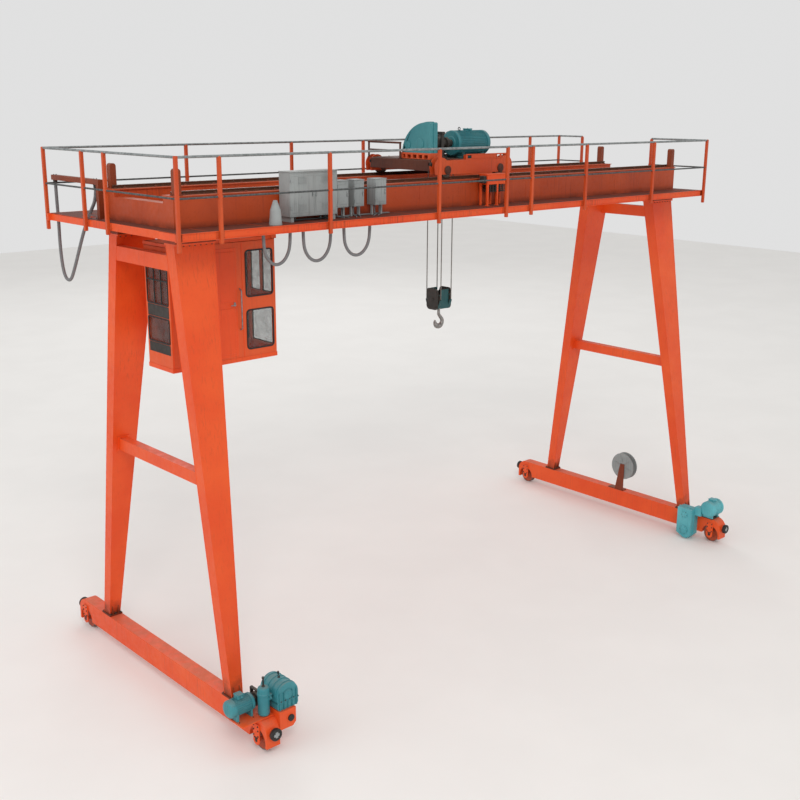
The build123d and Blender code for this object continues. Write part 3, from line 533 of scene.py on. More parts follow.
def add_piece(name, body, material, *shapes, sharp=35.0, stands_for=()):
    """Makes one object from shapes, with its normals outward, smooth but for edges sharper than an
    angle, riding on a body and standing for the nodes given."""
    points, quads, caps = join(*shapes)
    mesh = bpy.data.meshes.new(name)
    mesh.from_pydata(points.tolist(), [], quads.tolist() + [cap.tolist() for cap in caps])
    work = bmesh.new()
    work.from_mesh(mesh)
    bmesh.ops.recalc_face_normals(work, faces=work.faces[:])
    work.to_mesh(mesh)
    work.free()
    mesh.polygons.foreach_set("use_smooth", np.ones(len(mesh.polygons), bool))
    mesh.set_sharp_from_angle(angle=math.radians(sharp))
    mesh.materials.append(material)
    piece = bpy.data.objects.new(name, mesh)
    scene.collection.objects.link(piece)
    if body:
        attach(piece, body)
    if stands_for:
        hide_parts(*stands_for)
    return piece


def plate(outline, low, high, axis):
    """A flat plate: an outline in the two axes that follow the given one in turn, carried from low to
    high along it."""
    outline = np.asarray(outline, float)
    rings = np.stack([np.c_[outline, np.full(len(outline), level)] for level in (low, high)])
    return facing(skin(rings), "+" + axis)


def arc(centre, radius, start, end, count=12):
    """Points on a flat arc: centre plus radius times the cosine and sine of angles in degrees."""
    angle = np.radians(np.linspace(start, end, count))
    return np.c_[centre[0] + radius * np.cos(angle), centre[1] + radius * np.sin(angle)]


def spun(shape, count, start=0.0):
    """The shape turned about z to equal steps round the circle."""
    shapes = []
    for c, s in circle(count, start):
        shapes.append((shape[0] @ np.array([(c, s, 0.0), (-s, c, 0.0), (0.0, 0.0, 1.0)]), shape[1], shape[2]))
    return join(*shapes)


def eye_bolt(radius):
    """A lifting eye: a collar with a ring standing on it."""
    ring = at(hoop(radius, 0.28 * radius, 20), "+x", (0.0, 0.0, 1.3 * radius))
    collar = lathe([(0.0, 1.1 * radius), (0.3 * radius, 1.1 * radius), (0.4 * radius, 0.6 * radius)], 16)
    return join(collar, ring)


def motor(cover_end, way, y, z, radius, length, fins=28):
    """A finned motor along x: a turned body whose fan cover is at one end, straight fins round its
    middle, a grille of rings on the cover and screws round both ends."""
    depth, cover, shield = 0.014, 0.12, 0.06
    body = lathe([(0.0, 0.5 * radius), (0.004, 0.66 * radius), (0.0125, 0.84 * radius), (0.03, 0.95 * radius),
                  (0.05, radius), (cover, radius), (cover, radius - depth), (length - shield, radius - depth),
                  (length - shield, radius), (length - 0.012, radius), (length, radius - 0.012),
                  (length, 0.55 * radius), (length + 0.012, 0.5 * radius), (length + 0.012, 0.2 * radius)],
                 48)
    fin = bar((radius - depth - 0.004, -0.004, cover + 0.004),
              (radius - 0.001, 0.004, length - shield - 0.004), 0.0015)
    rings = [hoop(share * radius, 0.004, 32, 6, 0.002) for share in (0.16, 0.27, 0.38, 0.49)]
    spokes = spun(bar((0.02, -0.003, -0.002), (0.5 * radius, 0.003, 0.004), 0.001), 6)
    screw = at(bolt(0.008), "+x", (radius - 0.003, 0.0, 0.1))
    end_bolt = moved(bolt(0.012), (0.88 * radius, 0.0, length - 0.004))
    whole = join(body, spun(fin, fins, 0.11), *rings, spokes, spun(screw, 4, 0.78), spun(end_bolt, 6, 0.4))
    return at(whole, toward("x", way), (cover_end, y, z))


def terminal_box(x_limits, y_limits, z_limits):
    """A terminal box with a lid on four screws and a cable gland on its near side."""
    (x0, x1), (y0, y1), (z0, z1) = x_limits, y_limits, z_limits
    gland_shape = lathe([(0.0, 0.02), (0.014, 0.02), (0.016, 0.015), (0.03, 0.015), (0.036, 0.011)], 12)
    screws = [(x, y, z1) for x in (x0 + 0.015, x1 - 0.015) for y in (y0 + 0.015, y1 - 0.015)]
    return join(bar((x0, y0, z0), (x1, y1, z1 - 0.02), 0.006),
                bar((x0 - 0.006, y0 - 0.006, z1 - 0.02), (x1 + 0.006, y1 + 0.006, z1), 0.005),
                bolts(0.007, screws), at(gland_shape, "-y", ((x0 + x1) / 2, y0, (z0 + z1) / 2)))


def soften(piece, width):
    """Rounds the piece's sharp edges by a bevel of two steps."""
    bevel = piece.modifiers.new("bevel", "BEVEL")
    bevel.width = width
    bevel.segments = 2
    bevel.limit_method = "ANGLE"
    bevel.angle_limit = math.radians(40.0)


# Cables that hang free

def hanging_cable(name, node, points, radius):
    """A cable whose centreline is a spline with the route's corners as its control points."""
    curve = bpy.data.curves.new(name, "CURVE")
    curve.dimensions = "3D"
    curve.bevel_depth = radius
    curve.bevel_resolution = 5
    curve.resolution_u = 10
    curve.use_fill_caps = True
    spline = curve.splines.new("NURBS")
    spline.points.add(len(points) - 1)
    spline.points.foreach_set("co", np.c_[np.array(points, float), np.ones(len(points))].ravel())
    spline.order_u = 3
    spline.use_endpoint_u = True
    cable = bpy.data.objects.new(name, curve)
    scene.collection.objects.link(cable)
    curve.materials.append(CABLE)
    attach(cable, "frame")
    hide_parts(node)


ARM_X, ARM_UNDER = -6.93, 8.995
hanging_cable("long_loop", "long_loop_cable", [
    (ARM_X, 2.83, ARM_UNDER), (ARM_X, 2.83, 8.65), (ARM_X, 2.815, 8.25), (ARM_X, 2.83, 7.85),
                                               (ARM_X, 2.8, 7.45),
    (ARM_X, 2.7, 7.21), (ARM_X, 2.5, 7.18), (ARM_X, 2.33, 7.4), (ARM_X, 2.1, 7.76), (ARM_X, 1.85, 8.15),
    (ARM_X, 1.56, 8.5), (ARM_X, 1.3, 8.76), (ARM_X, 1.3, ARM_UNDER)], 0.03)

FESTOON_Y, DECK_UNDER = -1.56, 8.41
FESTOONS = ((-5.48, -4.93, 7.8, 1.561), (-4.66, -4.06, 7.79, 1.615), (-3.77, -3.17, 7.81, 1.577))
for number, (left, right, low, length) in enumerate(FESTOONS, start=1):
    width, drop = right - left, DECK_UNDER - low
    shape = ((0.0, 0.0), (0.0, 0.38), (0.04, 0.74), (0.24, 1.0), (0.5, 1.08), (0.76, 0.98), (0.95, 0.72),
             (1.0, 0.36), (1.0, 0.0))
    hanging_cable(f"festoon_{number}", f"festoon_cable_{number}",
                  [(left + u * width, FESTOON_Y, DECK_UNDER - v * drop) for u, v in shape], 0.028)


# Walkway handrails: painted posts on cleats, a grey top pipe and a darker middle pipe

BOTH = (-1, 1)
CORNERS = ((-1, -1), (-1, 1), (1, -1), (1, 1))
DECK_TOP, DECK_EDGE_UNDER = 8.42, 8.29
TOP_RAIL, MID_RAIL = 9.57, 8.95
POST, CLEAT, CORNER_X = 0.06, 0.052, 7.17
NEAR_EDGE, FAR_EDGE = -1.7, 2.7
NEAR_LINE, FAR_LINE = NEAR_EDGE - POST / 2, FAR_EDGE + POST / 2
NEAR_POSTS = (-6.4, -4.2, -1.62, 0.23, 0.97, 2.68, 5.07)
FAR_POSTS = (-4.22, -1.64, 0.36, 2.3, 4.2, 6.01)
LEFT_POSTS, RIGHT_POSTS = (0.5, 1.28), (-0.18, 1.96)


def rail_post(outward):
    """A post with a cap, and at each side a cleat with two bolts and a collar on the middle pipe."""
    along, out = (1, 0) if outward[1] == "x" else (0, 1)
    sign = -1 if outward[0] == "-" else 1
    collar = lathe([(-0.007, 0.023), (-0.005, 0.026), (0.005, 0.026), (0.007, 0.023)], 12)
    shapes = [bar((-POST / 2, -POST / 2, DECK_EDGE_UNDER - 0.07), (POST / 2, POST / 2, TOP_RAIL - 0.014),
                  0.006),
              lathe([(TOP_RAIL - 0.016, 0.03), (TOP_RAIL - 0.006, 0.026), (TOP_RAIL + 0.002, 0.022)], 12)]
    for side in BOTH:
        low, high, collar_place = np.zeros((3, 3))
        low[along], high[along] = side * POST / 2, side * (POST / 2 + CLEAT)
        low[out], high[out] = -sign * POST / 2, sign * (0.008 - POST / 2)
        low[2], high[2] = DECK_EDGE_UNDER + 0.012, DECK_TOP - 0.012
        bolt_places = np.tile((low + high) / 2, (2, 1))
        bolt_places[:, out], bolt_places[:, 2] = high[out], (DECK_TOP - 0.04, DECK_TOP - 0.09)
        collar_place[along], collar_place[2] = side * 0.036, MID_RAIL
        shapes += [bar(low, high, 0.002), bolts(0.014, bolt_places, outward),
                   at(collar, "+" + "xy"[along], collar_place)]
    return join(*shapes)


def handrail(side, posts, corners, runs, outward):
    """The posts, plain corner posts and two pipes along the runs of one side. Outward is the axis from
    the deck to the posts."""
    shapes = [copies(rail_post(outward), [(x, y, 0.0) for x, y in posts])]
    for x, y in corners:
        shapes.append(bar((x - POST / 2, y - POST / 2, DECK_EDGE_UNDER - 0.16),
                          (x + POST / 2, y + POST / 2, TOP_RAIL + 0.02), 0.008))
        shapes.append(moved(lathe([(TOP_RAIL + 0.018, 0.029), (TOP_RAIL + 0.021, 0.012)], 12), (x, y, 0.0)))
    add_piece(side + "_rails_posts", "frame", POST_PAINT, *shapes, stands_for=(side + "_handrail",))
    for part, material, level, radius, steps in (("top", PIPE, TOP_RAIL, 0.021, 16),
                                                 ("middle", MID_PIPE, MID_RAIL, 0.016, 14)):
        pipes = [pipe([(*start, level), (*end, level)], radius, steps) for start, end in runs]
        add_piece(f"{side}_rails_{part}_pipe", "frame", material, *pipes)


for side, y, posts, outward in (("near", NEAR_LINE, NEAR_POSTS, "-y"), ("far", FAR_LINE, FAR_POSTS, "+y")):
    ends = [(-CORNER_X, y), (CORNER_X, y)]
    handrail(side, [(x, y) for x in posts], ends, [ends], outward)
handrail("left", [(-CORNER_X, y) for y in LEFT_POSTS], [], [((-CORNER_X, NEAR_EDGE),
                                                             (-CORNER_X, FAR_EDGE))], "-x")
handrail("right", [(CORNER_X, y) for y in RIGHT_POSTS], [],
         [((CORNER_X, NEAR_EDGE), (CORNER_X, RIGHT_POSTS[0])),
          ((CORNER_X, RIGHT_POSTS[1]), (CORNER_X, FAR_EDGE))], "+x")


# Operator's cab: window seals, trims, door, handles and roof bolts

CAB_LEFT, CAB_RIGHT, CAB_NEAR, CAB_FAR = -6.64, -4.48, -0.48, 0.3
CAB_UNDER, CAB_ROOF = 5.93, 8.1
CAB_SIDES = ((CAB_NEAR, -1), (CAB_FAR, 1))
SIDE_WINDOW, FULL_PANE = (-5.11, -4.54), (-0.425, 0.245)
UPPER_PANE, LOWER_PANE, REAR_LOWER_PANE = (7.07, 7.88), (6.13, 6.83), (6.41, 6.83)
SIDE_PANES = ((SIDE_WINDOW, UPPER_PANE), (SIDE_WINDOW, LOWER_PANE))
FRONT_PANES = (((-0.425, -0.11), UPPER_PANE), ((-0.07, 0.245), UPPER_PANE), (FULL_PANE, LOWER_PANE))
REAR_PANES = ((FULL_PANE, UPPER_PANE), (FULL_PANE, REAR_LOWER_PANE))
SIDE_CORNER, END_CORNER = 0.06, 0.03
SEAL, PROUD = 0.026, 0.012
DOOR_LEFT, DOOR_RIGHT, DOOR_FOOT, DOOR_HEAD = -5.98, -5.3, 6.03, 7.95

seals = []
for y, side in CAB_SIDES:
    for x_limits, z_limits in SIDE_PANES:
        seals.append(moved(rounded_frame(x_limits, z_limits, SIDE_CORNER, SEAL, PROUD),
                           (0.0, y + side * (PROUD / 2 - 0.004), 0.0)))
for x, side, panes in ((CAB_RIGHT, 1, FRONT_PANES), (CAB_LEFT, -1, REAR_PANES)):
    for y_limits, z_limits in panes:
        seals.append(moved(turned_flat(rounded_frame(y_limits, z_limits, END_CORNER, SEAL, PROUD)),
                           (x + side * (PROUD / 2 - 0.004), 0.0, 0.0)))
add_piece("cab_window_seals", "frame", SEAL_RUBBER, *seals)

trims = []
for z_low, z_high in ((CAB_ROOF - 0.05, CAB_ROOF + 0.006), (CAB_UNDER - 0.004, CAB_UNDER + 0.07)):
    for y, side in CAB_SIDES:
        trims.append(bar((CAB_LEFT - 0.008, y, z_low), (CAB_RIGHT + 0.008, y + side * 0.01, z_high), 0.003))
    for x, side in ((CAB_LEFT, -1), (CAB_RIGHT, 1)):
        trims.append(bar((x, CAB_NEAR - 0.006, z_low), (x + side * 0.01, CAB_FAR + 0.006, z_high), 0.003))
hinge = lathe([(-0.05, 0.011), (-0.048, 0.014), (0.048, 0.014), (0.05, 0.011)], 12)
for y, side in CAB_SIDES:
    trims.append(bar((DOOR_LEFT, y, DOOR_FOOT), (DOOR_RIGHT, y + side * 0.005, DOOR_HEAD), 0.003))
    for z_low, z_high in ((DOOR_FOOT + 0.06, 6.9), (7.02, DOOR_HEAD - 0.06)):
        trims.append(bar((DOOR_LEFT + 0.05, y + side * 0.004, z_low),
                         (DOOR_RIGHT - 0.05, y + side * 0.009, z_high), 0.003))
    trims.append(copies(hinge, [(DOOR_LEFT, y + side * 0.012, z) for z in (6.25, 7.0, 7.75)]))
    for x in (CAB_LEFT + 0.02, DOOR_LEFT - 0.33, DOOR_RIGHT + 0.12):
        trims.append(bar((x - 0.012, y, CAB_UNDER + 0.08), (x + 0.012, y + side * 0.006, CAB_ROOF - 0.06),
                         0.002))
add_piece("cab_trims", "frame", ORANGE, *trims)

handles = []
for y, side in CAB_SIDES:
    lever_x, grip_x, lever_y, grip_y = DOOR_RIGHT - 0.06, DOOR_RIGHT + 0.05, y + side * 0.045, y + side * 0.06
    handles += [bar((lever_x - 0.02, y + side * 0.004, 6.93), (lever_x + 0.02, y + side * 0.014, 7.0), 0.003),
                pipe([(lever_x, y + side * 0.012, 6.96), (lever_x, lever_y, 6.96),
                      (lever_x - 0.1, lever_y, 6.955)], 0.008, 8),
                pipe([(grip_x, y, 6.5), (grip_x, grip_y, 6.53), (grip_x, grip_y, 7.2), (grip_x, y, 7.23)],
                     0.011, 10)]
add_piece("cab_handles", "frame", PIPE, *handles)

roof_bolts = []
for x in (CAB_LEFT + 0.69, CAB_RIGHT - 0.25):
    for end in BOTH:
        places = [(x + dx, end * y, CAB_ROOF) for dx in (-0.03, 0.03) for y in (0.17, 0.24)]
        roof_bolts.append(bolts(0.012, places))
add_piece("cab_roof_bolts", "frame", DARK, *roof_bolts)


# Girders: rail clips, splice bars and weld beads

GIRDER_Y, GIRDER_TOP, GIRDER_UNDER, GIRDER_END = 0.94, 8.94, 8.25, 6.86
WEB_OUT, WEB_IN = 1.09, 0.79
RAIL_HALF, SPLICE_X = 0.034, 2.3

clip = join(bar((-0.03, 0.0, 0.0), (0.03, 0.045, 0.014), 0.003),
            bar((-0.02, -0.012, 0.01), (0.02, 0.012, 0.02), 0.002),
            moved(bolt(0.014), (0.0, 0.024, 0.014)))
for end_name, end in (("near", -1), ("far", 1)):
    clips, splices = [], []
    for side in BOTH:
        turned = (clip[0] * (side, side, 1), clip[1], clip[2])
        clips.append(copies(turned, [(x, end * GIRDER_Y + side * RAIL_HALF, GIRDER_TOP)
                                     for x in np.arange(-6.6, 6.61, 0.6)]))
    for x in (-SPLICE_X, SPLICE_X):
        for side in BOTH:
            y = end * GIRDER_Y + side * 0.007
            bolt_places = [(x + dx, y + side * 0.01, GIRDER_TOP + 0.025) for dx in (-0.12, -0.05, 0.05, 0.12)]
            splices += [bar((x - 0.17, y, GIRDER_TOP + 0.017),
                            (x + 0.17, y + side * 0.01, GIRDER_TOP + 0.033), 0.002),
                        bolts(0.01, bolt_places, toward("y", side))]
    add_piece(end_name + "_rail_clips", "frame", CLIP, *clips)
    add_piece(end_name + "_rail_splices", "frame", CLIP, *splices)


def weld(start, end, size=0.006, step=0.05):
    """A weld bead along a straight line: a pipe with six sides whose radius swells by a tenth every
    other ring, as the runs of a bead do."""
    start, end = np.asarray(start, float), np.asarray(end, float)
    count = max(int(np.linalg.norm(end - start) / step), 2) + 1
    share = np.linspace(0.0, 1.0, count)[:, None]
    return pipe(start + share * (end - start), size * (1.0 + 0.1 * (-1.0) ** np.arange(count)), 6)


beads = []
for end in BOTH:
    for y in (end * WEB_OUT, end * WEB_IN):
        for z in (GIRDER_TOP - 0.018, GIRDER_UNDER + 0.018):
            beads.append(weld((-GIRDER_END + 0.01, y, z), (GIRDER_END - 0.01, y, z)))
    for x in (-4.55, -1.52, 1.52, 4.55):
        for y in (end * WEB_OUT, end * WEB_IN):
            beads.append(weld((x, y, GIRDER_UNDER + 0.03), (x, y, GIRDER_TOP - 0.03), 0.004))
add_piece("girder_welds", "frame", GIRDER, *beads)


# Portals: the bolts of the legs' flanges, braces and wheel hangers, the stops' feet and the welds

BEAM_X, LEG_TOP_X, LEG_OUT = 6.75, 6.48, 6.86
LEG_TOP, LEG_FOOT, LEG_TOP_Y, LEG_FOOT_Y = 8.15, 0.63, 0.9275, 2.114
HANGER_OUT, STOP_X, STOP_Y, BUFFER_Z = 0.159, 6.755, 1.036, 0.395


def brace_face(z):
    """How far from the middle plane a leg's inner face is at a height: it leans in by 1.203 m over 7.52 m."""
    return 2.003 - 1.203 * (z - LEG_FOOT) / 7.52


flange_bolts, brace_bolts, stop_feet, stop_bolts, leg_welds, buffer_bolts = [], [], [], [], [], []
for side, end in CORNERS:
    top_x, foot_x, leg_y, foot_y = side * LEG_TOP_X, side * BEAM_X, end * LEG_TOP_Y, end * LEG_FOOT_Y
    flange_bolts.append(bolts(0.016, [(x, leg_y + lip * 0.1505, LEG_TOP)
                                      for x in top_x + np.linspace(-0.32, 0.32, 7)
                                      for lip in BOTH], "-z"))
    flange_bolts.append(bolts(0.02, [(foot_x + dx, foot_y + lip * 0.133, LEG_FOOT)
                                     for dx in (-0.105, 0.0, 0.105)
                                     for lip in BOTH]))
    brace_bolts.append(bolts(0.014, [(side * (LEG_OUT - 0.21) + dx, end * brace_face(z), z)
                                     for dx in (-0.105, 0.105)
                                     for z in (4.13, 4.26, 4.39)], toward("y", -end)))
    x, y = side * STOP_X, end * STOP_Y
    stop_feet.append(bar((x - 0.075, y - 0.068, GIRDER_TOP), (x + 0.075, y + 0.068, GIRDER_TOP + 0.014),
                         0.003))
    stop_bolts.append(bolts(0.012, [(x + dx, y, GIRDER_TOP + 0.014) for dx in (-0.065, 0.065)]))
    for face_x, face_y in CORNERS:
        leg_welds.append(weld((foot_x + face_x * 0.11, foot_y + face_y * 0.111, LEG_FOOT),
                              (top_x + face_x * 0.38, leg_y + face_y * 0.1275, LEG_TOP), 0.005, 0.08))
    ring = circle(4, math.pi / 4) * 0.05
    places = np.c_[foot_x + ring[:, 0], np.full(4, end * 3.35), BUFFER_Z + ring[:, 1]]
    buffer_bolts.append(bolts(0.01, places, toward("y", end)))
add_piece("leg_flange_bolts", "frame", DARK, *flange_bolts)
add_piece("brace_bolts", "frame", DARK, *brace_bolts)

keepers = []
nipple = lathe([(0.0, 0.03), (0.004, 0.03), (0.006, 0.008), (0.014, 0.008), (0.018, 0.004)], 12)
for side, face in CORNERS:
    axis, x = toward("x", face), side * BEAM_X + face * HANGER_OUT
    for y in (-WHEEL_Y, WHEEL_Y):
        keepers += [bolts(0.014, [(x, y + dy, WHEEL_Z + dz) for dy in (-0.06, 0.06)
                                  for dz in (0.09, 0.19, 0.27)], axis),
                    bar((x, y - 0.05, WHEEL_Z + 0.038), (x + face * 0.006, y + 0.05, WHEEL_Z + 0.062), 0.002),
                    bolts(0.01, [(x + face * 0.006, y + dy, WHEEL_Z + 0.05) for dy in (-0.036, 0.036)], axis),
                    at(nipple, axis, (x, y, WHEEL_Z))]
add_piece("wheel_keepers", "frame", DARK, *keepers)
add_piece("stop_feet", "frame", BROWN, *stop_feet, *stop_bolts)
add_piece("leg_welds", "frame", ORANGE, *leg_welds)
add_piece("buffer_bolts", "frame", DARK, *buffer_bolts)


# Control cabinets: doors with hinges and locks, roofs, louvres, glands and conduits to the deck

CABINET_X, CABINET_FACE, CABINET_BACK, CABINET_Z = (-4.82, -3.8), -1.425, -1.125, (8.51, 9.25)
SMALL_CABINETS = ((-3.74, 0.26), (-3.35, 0.23), (-2.86, 0.27))
SMALL_FACE, SMALL_Z = -1.345, (8.6, 9.06)


def cabinet_door(x_low, x_high, z_low, z_high, face_y, hinge_side):
    """A door leaf with a raised middle panel, and two hinges at one side with a lock at the other."""
    leaf = join(bar((x_low, face_y - 0.006, z_low), (x_high, face_y + 0.001, z_high), 0.002),
                bar((x_low + 0.03, face_y - 0.01, z_low + 0.04),
                    (x_high - 0.03, face_y - 0.005, z_high - 0.04), 0.002))
    hinge_x, lock_x = (x_low, x_high - 0.035) if hinge_side < 0 else (x_high, x_low + 0.035)
    hinge = lathe([(-0.03, 0.005), (-0.028, 0.008), (0.028, 0.008), (0.03, 0.005)], 10)
    rise, middle = 0.18 * (z_high - z_low), (z_low + z_high) / 2
    hinges = copies(hinge, [(hinge_x, face_y - 0.008, z) for z in (z_low + rise, z_high - rise)])
    lock = (bar((lock_x - 0.012, face_y - 0.014, middle - 0.045),
                (lock_x + 0.012, face_y - 0.009, middle + 0.045), 0.002),
            bar((lock_x - 0.008, face_y - 0.026, middle - 0.04),
                (lock_x + 0.008, face_y - 0.013, middle + 0.02), 0.003))
    return leaf, join(hinges, *lock)


middle_x = sum(CABINET_X) / 2
doors = [(CABINET_X[0] + 0.008, middle_x - 0.003, CABINET_Z[0] + 0.02, CABINET_Z[1] - 0.03, CABINET_FACE, -1),
         (middle_x + 0.003, CABINET_X[1] - 0.008, CABINET_Z[0] + 0.02, CABINET_Z[1] - 0.03, CABINET_FACE, 1)]
roofs = [bar((CABINET_X[0] - 0.015, CABINET_FACE - 0.02, CABINET_Z[1] - 0.004),
             (CABINET_X[1] + 0.015, CABINET_BACK, CABINET_Z[1] + 0.012), 0.004)]
for left, width in SMALL_CABINETS:
    right = left + width
    doors.append((left + 0.006, right - 0.006, SMALL_Z[0] + 0.012, SMALL_Z[1] - 0.02, SMALL_FACE, -1))
    roofs.append(bar((left - 0.008, SMALL_FACE - 0.012, SMALL_Z[1] - 0.003),
                     (right + 0.008, CABINET_BACK, SMALL_Z[1] + 0.008), 0.003))
leaves, fittings = zip(*(cabinet_door(*door) for door in doors))
louvre = join(*[bar((-0.09, -0.006, z), (0.09, 0.0, z + 0.008), 0.002) for z in np.arange(0.0, 0.11, 0.018)])
louvres = copies(louvre, [(x, CABINET_FACE - 0.009, z) for x in (-4.56, -4.06) for z in (8.6, 9.05)])
add_piece("cabinet_doors", "frame", GREY, *leaves, *roofs, louvres)
add_piece("cabinet_fittings", "frame", PIPE, *fittings)

conduits, glands = [], []
gland = lathe([(0.0, 0.022), (0.012, 0.022), (0.014, 0.018), (0.03, 0.016), (0.034, 0.013)], 12)
for number, (left, width) in enumerate(SMALL_CABINETS):
    for x in (left + 0.3 * width, left + 0.7 * width):
        glands.append(at(gland, "-z", (x, -1.24, SMALL_Z[0])))
        conduits.append(pipe([(x, -1.24, SMALL_Z[0] - 0.03), (x, -1.24, 8.48), (x, -1.25, 8.45),
                              (x, -1.29, DECK_TOP + 0.014), (x - 0.1 * number, -1.45, DECK_TOP + 0.013)],
                             0.011, 8))
for x in (-4.7, -4.6, -4.05, -3.95):
    glands.append(at(gland, "-z", (x, -1.27, CABINET_Z[0])))
    conduits.append(pipe([(x, -1.27, CABINET_Z[0] - 0.03), (x, -1.27, DECK_TOP + 0.004)], 0.012, 8))
conduits += [pipe([(x, y, DECK_TOP + 0.012) for x in (-4.75, -2.4)], 0.011, 8)
             for y in (-1.17, -1.195, -1.22)]
add_piece("cabinet_glands", "frame", CABLE, *glands)
add_piece("cabinet_conduits", "frame", CABLE, *conduits)

ARM_ENDS = (1.3, 2.83)
clamps = []
clamp = lathe([(-0.05, 0.031), (-0.048, 0.037), (-0.012, 0.037), (-0.006, 0.05), (0.0, 0.052)], 20)
arm_clamp = lathe([(-0.06, 0.033), (-0.058, 0.039), (-0.012, 0.039), (-0.006, 0.044), (0.0, 0.044)], 20)
for x in [x for festoon in FESTOONS for x in festoon[:2]]:
    clamps += [moved(clamp, (x, FESTOON_Y, DECK_UNDER)),
               bolts(0.008, [(x + dx, FESTOON_Y, DECK_UNDER - 0.002) for dx in (-0.042, 0.042)], "-z")]
clamps.append(copies(arm_clamp, [(ARM_X, y, ARM_UNDER) for y in ARM_ENDS]))
add_piece("cable_clamps", "frame", DARK, *clamps)
arm_bolts = [(x, y, ARM_UNDER + 0.09) for y in ARM_ENDS for x in (ARM_X - 0.025, ARM_X + 0.025)]
arm_bolts += [(x, y, DECK_TOP) for x in (ARM_X - 0.07, ARM_X + 0.07) for y in (1.14, 1.2)]
add_piece("arm_bolts", "frame", DARK, bolts(0.012, arm_bolts))


# Walkway decks: plate seams, the channel edges' lips and the channels that close the two ends

DECKS, DECK_END = ((NEAR_EDGE, -WEB_OUT), (WEB_OUT, FAR_EDGE)), 7.14
seams = []
for x in np.arange(-6.6, 6.61, 1.1):
    for low, high in ((NEAR_EDGE + 0.05, -WEB_OUT), (WEB_OUT, FAR_EDGE - 0.05)):
        seams.append(weld((x, low, DECK_TOP), (x, high, DECK_TOP), 0.004, 0.06))
for x in np.arange(-6.6, 6.61, 2.2):
    for low, high in ((NEAR_EDGE, NEAR_EDGE + 0.045), (FAR_EDGE - 0.045, FAR_EDGE)):
        seams.append(bar((x - 0.006, low - 0.001, DECK_EDGE_UNDER),
                         (x + 0.006, high + 0.001, DECK_TOP - 0.01), 0.002))
add_piece("deck_seams", "frame", DECK, *seams)
lips = [bar((-DECK_END, y, z), (DECK_END, y + sign * 0.02, z + 0.008), 0.002)
        for y, sign in ((NEAR_EDGE, -1), (FAR_EDGE, 1)) for z in (DECK_EDGE_UNDER, DECK_TOP - 0.008)]
lips += [bar((side * DECK_END, low, DECK_EDGE_UNDER), (side * (DECK_END - 0.045), high, DECK_TOP - 0.002),
             0.002)
         for side in BOTH for low, high in DECKS]
add_piece("deck_channel_lips", "frame", ORANGE, *lips)


# Ground beams: round-shouldered boxes with wheel arches, hangers and rubber buffers

BEAM_HALF, BEAM_TOP, BEAM_UNDER, TIP_UNDER, BEAM_END = 0.135, 0.6, 0.19, 0.13, 3.25
SHOULDER, ARCH, TONGUE = 0.24, 0.225, 0.085
TIP_CAP = (-6.3875, -3.25, 0.535)


def beam_outline():
    """The beam seen from its side, in y and z: shoulders as quarter circles, a dropped tip at each end
    and an arch over each wheel."""
    tip = math.degrees(math.asin((WHEEL_Z - TIP_UNDER) / ARCH))
    inner = math.degrees(math.asin((WHEEL_Z - BEAM_UNDER) / ARCH))
    return np.vstack([arc((-BEAM_END + SHOULDER, BEAM_TOP - SHOULDER), SHOULDER, 180.0, 90.0),
                      arc((BEAM_END - SHOULDER, BEAM_TOP - SHOULDER), SHOULDER, 90.0, 0.0),
                      [(BEAM_END, TIP_UNDER)], arc((WHEEL_Y, WHEEL_Z), ARCH, -tip, 180.0 + inner, 25),
                      arc((-WHEEL_Y, WHEEL_Z), ARCH, -inner, 180.0 + tip, 25), [(-BEAM_END, TIP_UNDER)]])


buffer_base = lathe([(0.0, 0.1), (0.012, 0.1), (0.014, 0.076), (0.03, 0.075)], 32)
buffer_rubber = lathe([(0.03, 0.06), (0.03, 0.09), (0.036, 0.101), (0.045, 0.107), (0.095, 0.107),
                       (0.104, 0.1),
                       (0.11, 0.088), (0.11, 0.064), (0.102, 0.058)], 40, loop=True)
buffer_disc = lathe([(0.028, 0.062), (0.094, 0.062), (0.099, 0.055), (0.099, 0.02), (0.1, 0.012)], 28)
tip_cap = lathe([(0.0, 0.06), (0.02, 0.06), (0.026, 0.052), (0.026, 0.03), (0.034, 0.024)], 28)
for name, side in (("left", -1), ("right", 1)):
    middle = side * BEAM_X
    shapes = [plate(beam_outline(), middle - BEAM_HALF, middle + BEAM_HALF, "x")]
    for face, end in CORNERS:
        inner, outer = sorted((middle + face * BEAM_HALF, middle + face * HANGER_OUT))
        y = end * WHEEL_Y
        tongue = np.vstack([arc((y, WHEEL_Z), TONGUE, 180.0, 360.0, 17), [
            (y + TONGUE, 0.49), (y + TONGUE - 0.01, 0.5), (y - TONGUE + 0.01, 0.5), (y - TONGUE, 0.49)]])
        shapes.append(plate(tongue, inner, outer, "x"))
    shapes += [at(buffer_base, toward("y", end), (middle, end * (BEAM_END - 0.002), BUFFER_Z))
               for end in BOTH]
    rubbers, discs = ([at(shape, toward("y", end), (middle, end * BEAM_END, BUFFER_Z)) for end in BOTH]
                      for shape in (buffer_rubber, buffer_disc))
    if side < 0:
        bracket = [(0.37, -6.615), (0.37, -6.34), (0.43, -6.28), (0.7, -6.28), (0.7, -6.615)]
        shapes.append(plate(bracket, -BEAM_END, -2.85, "y"))
        rubbers.append(at(tip_cap, "-y", TIP_CAP))
    shell = add_piece(name + "_ground_beam_shell", "frame", ORANGE, *shapes,
                      stands_for=(name + "_ground_beam",))
    soften(shell, 0.005)
    add_piece(name + "_buffer_rubbers", "frame", BUFFER, *rubbers)
    add_piece(name + "_buffer_discs", "frame", GREY, *discs)

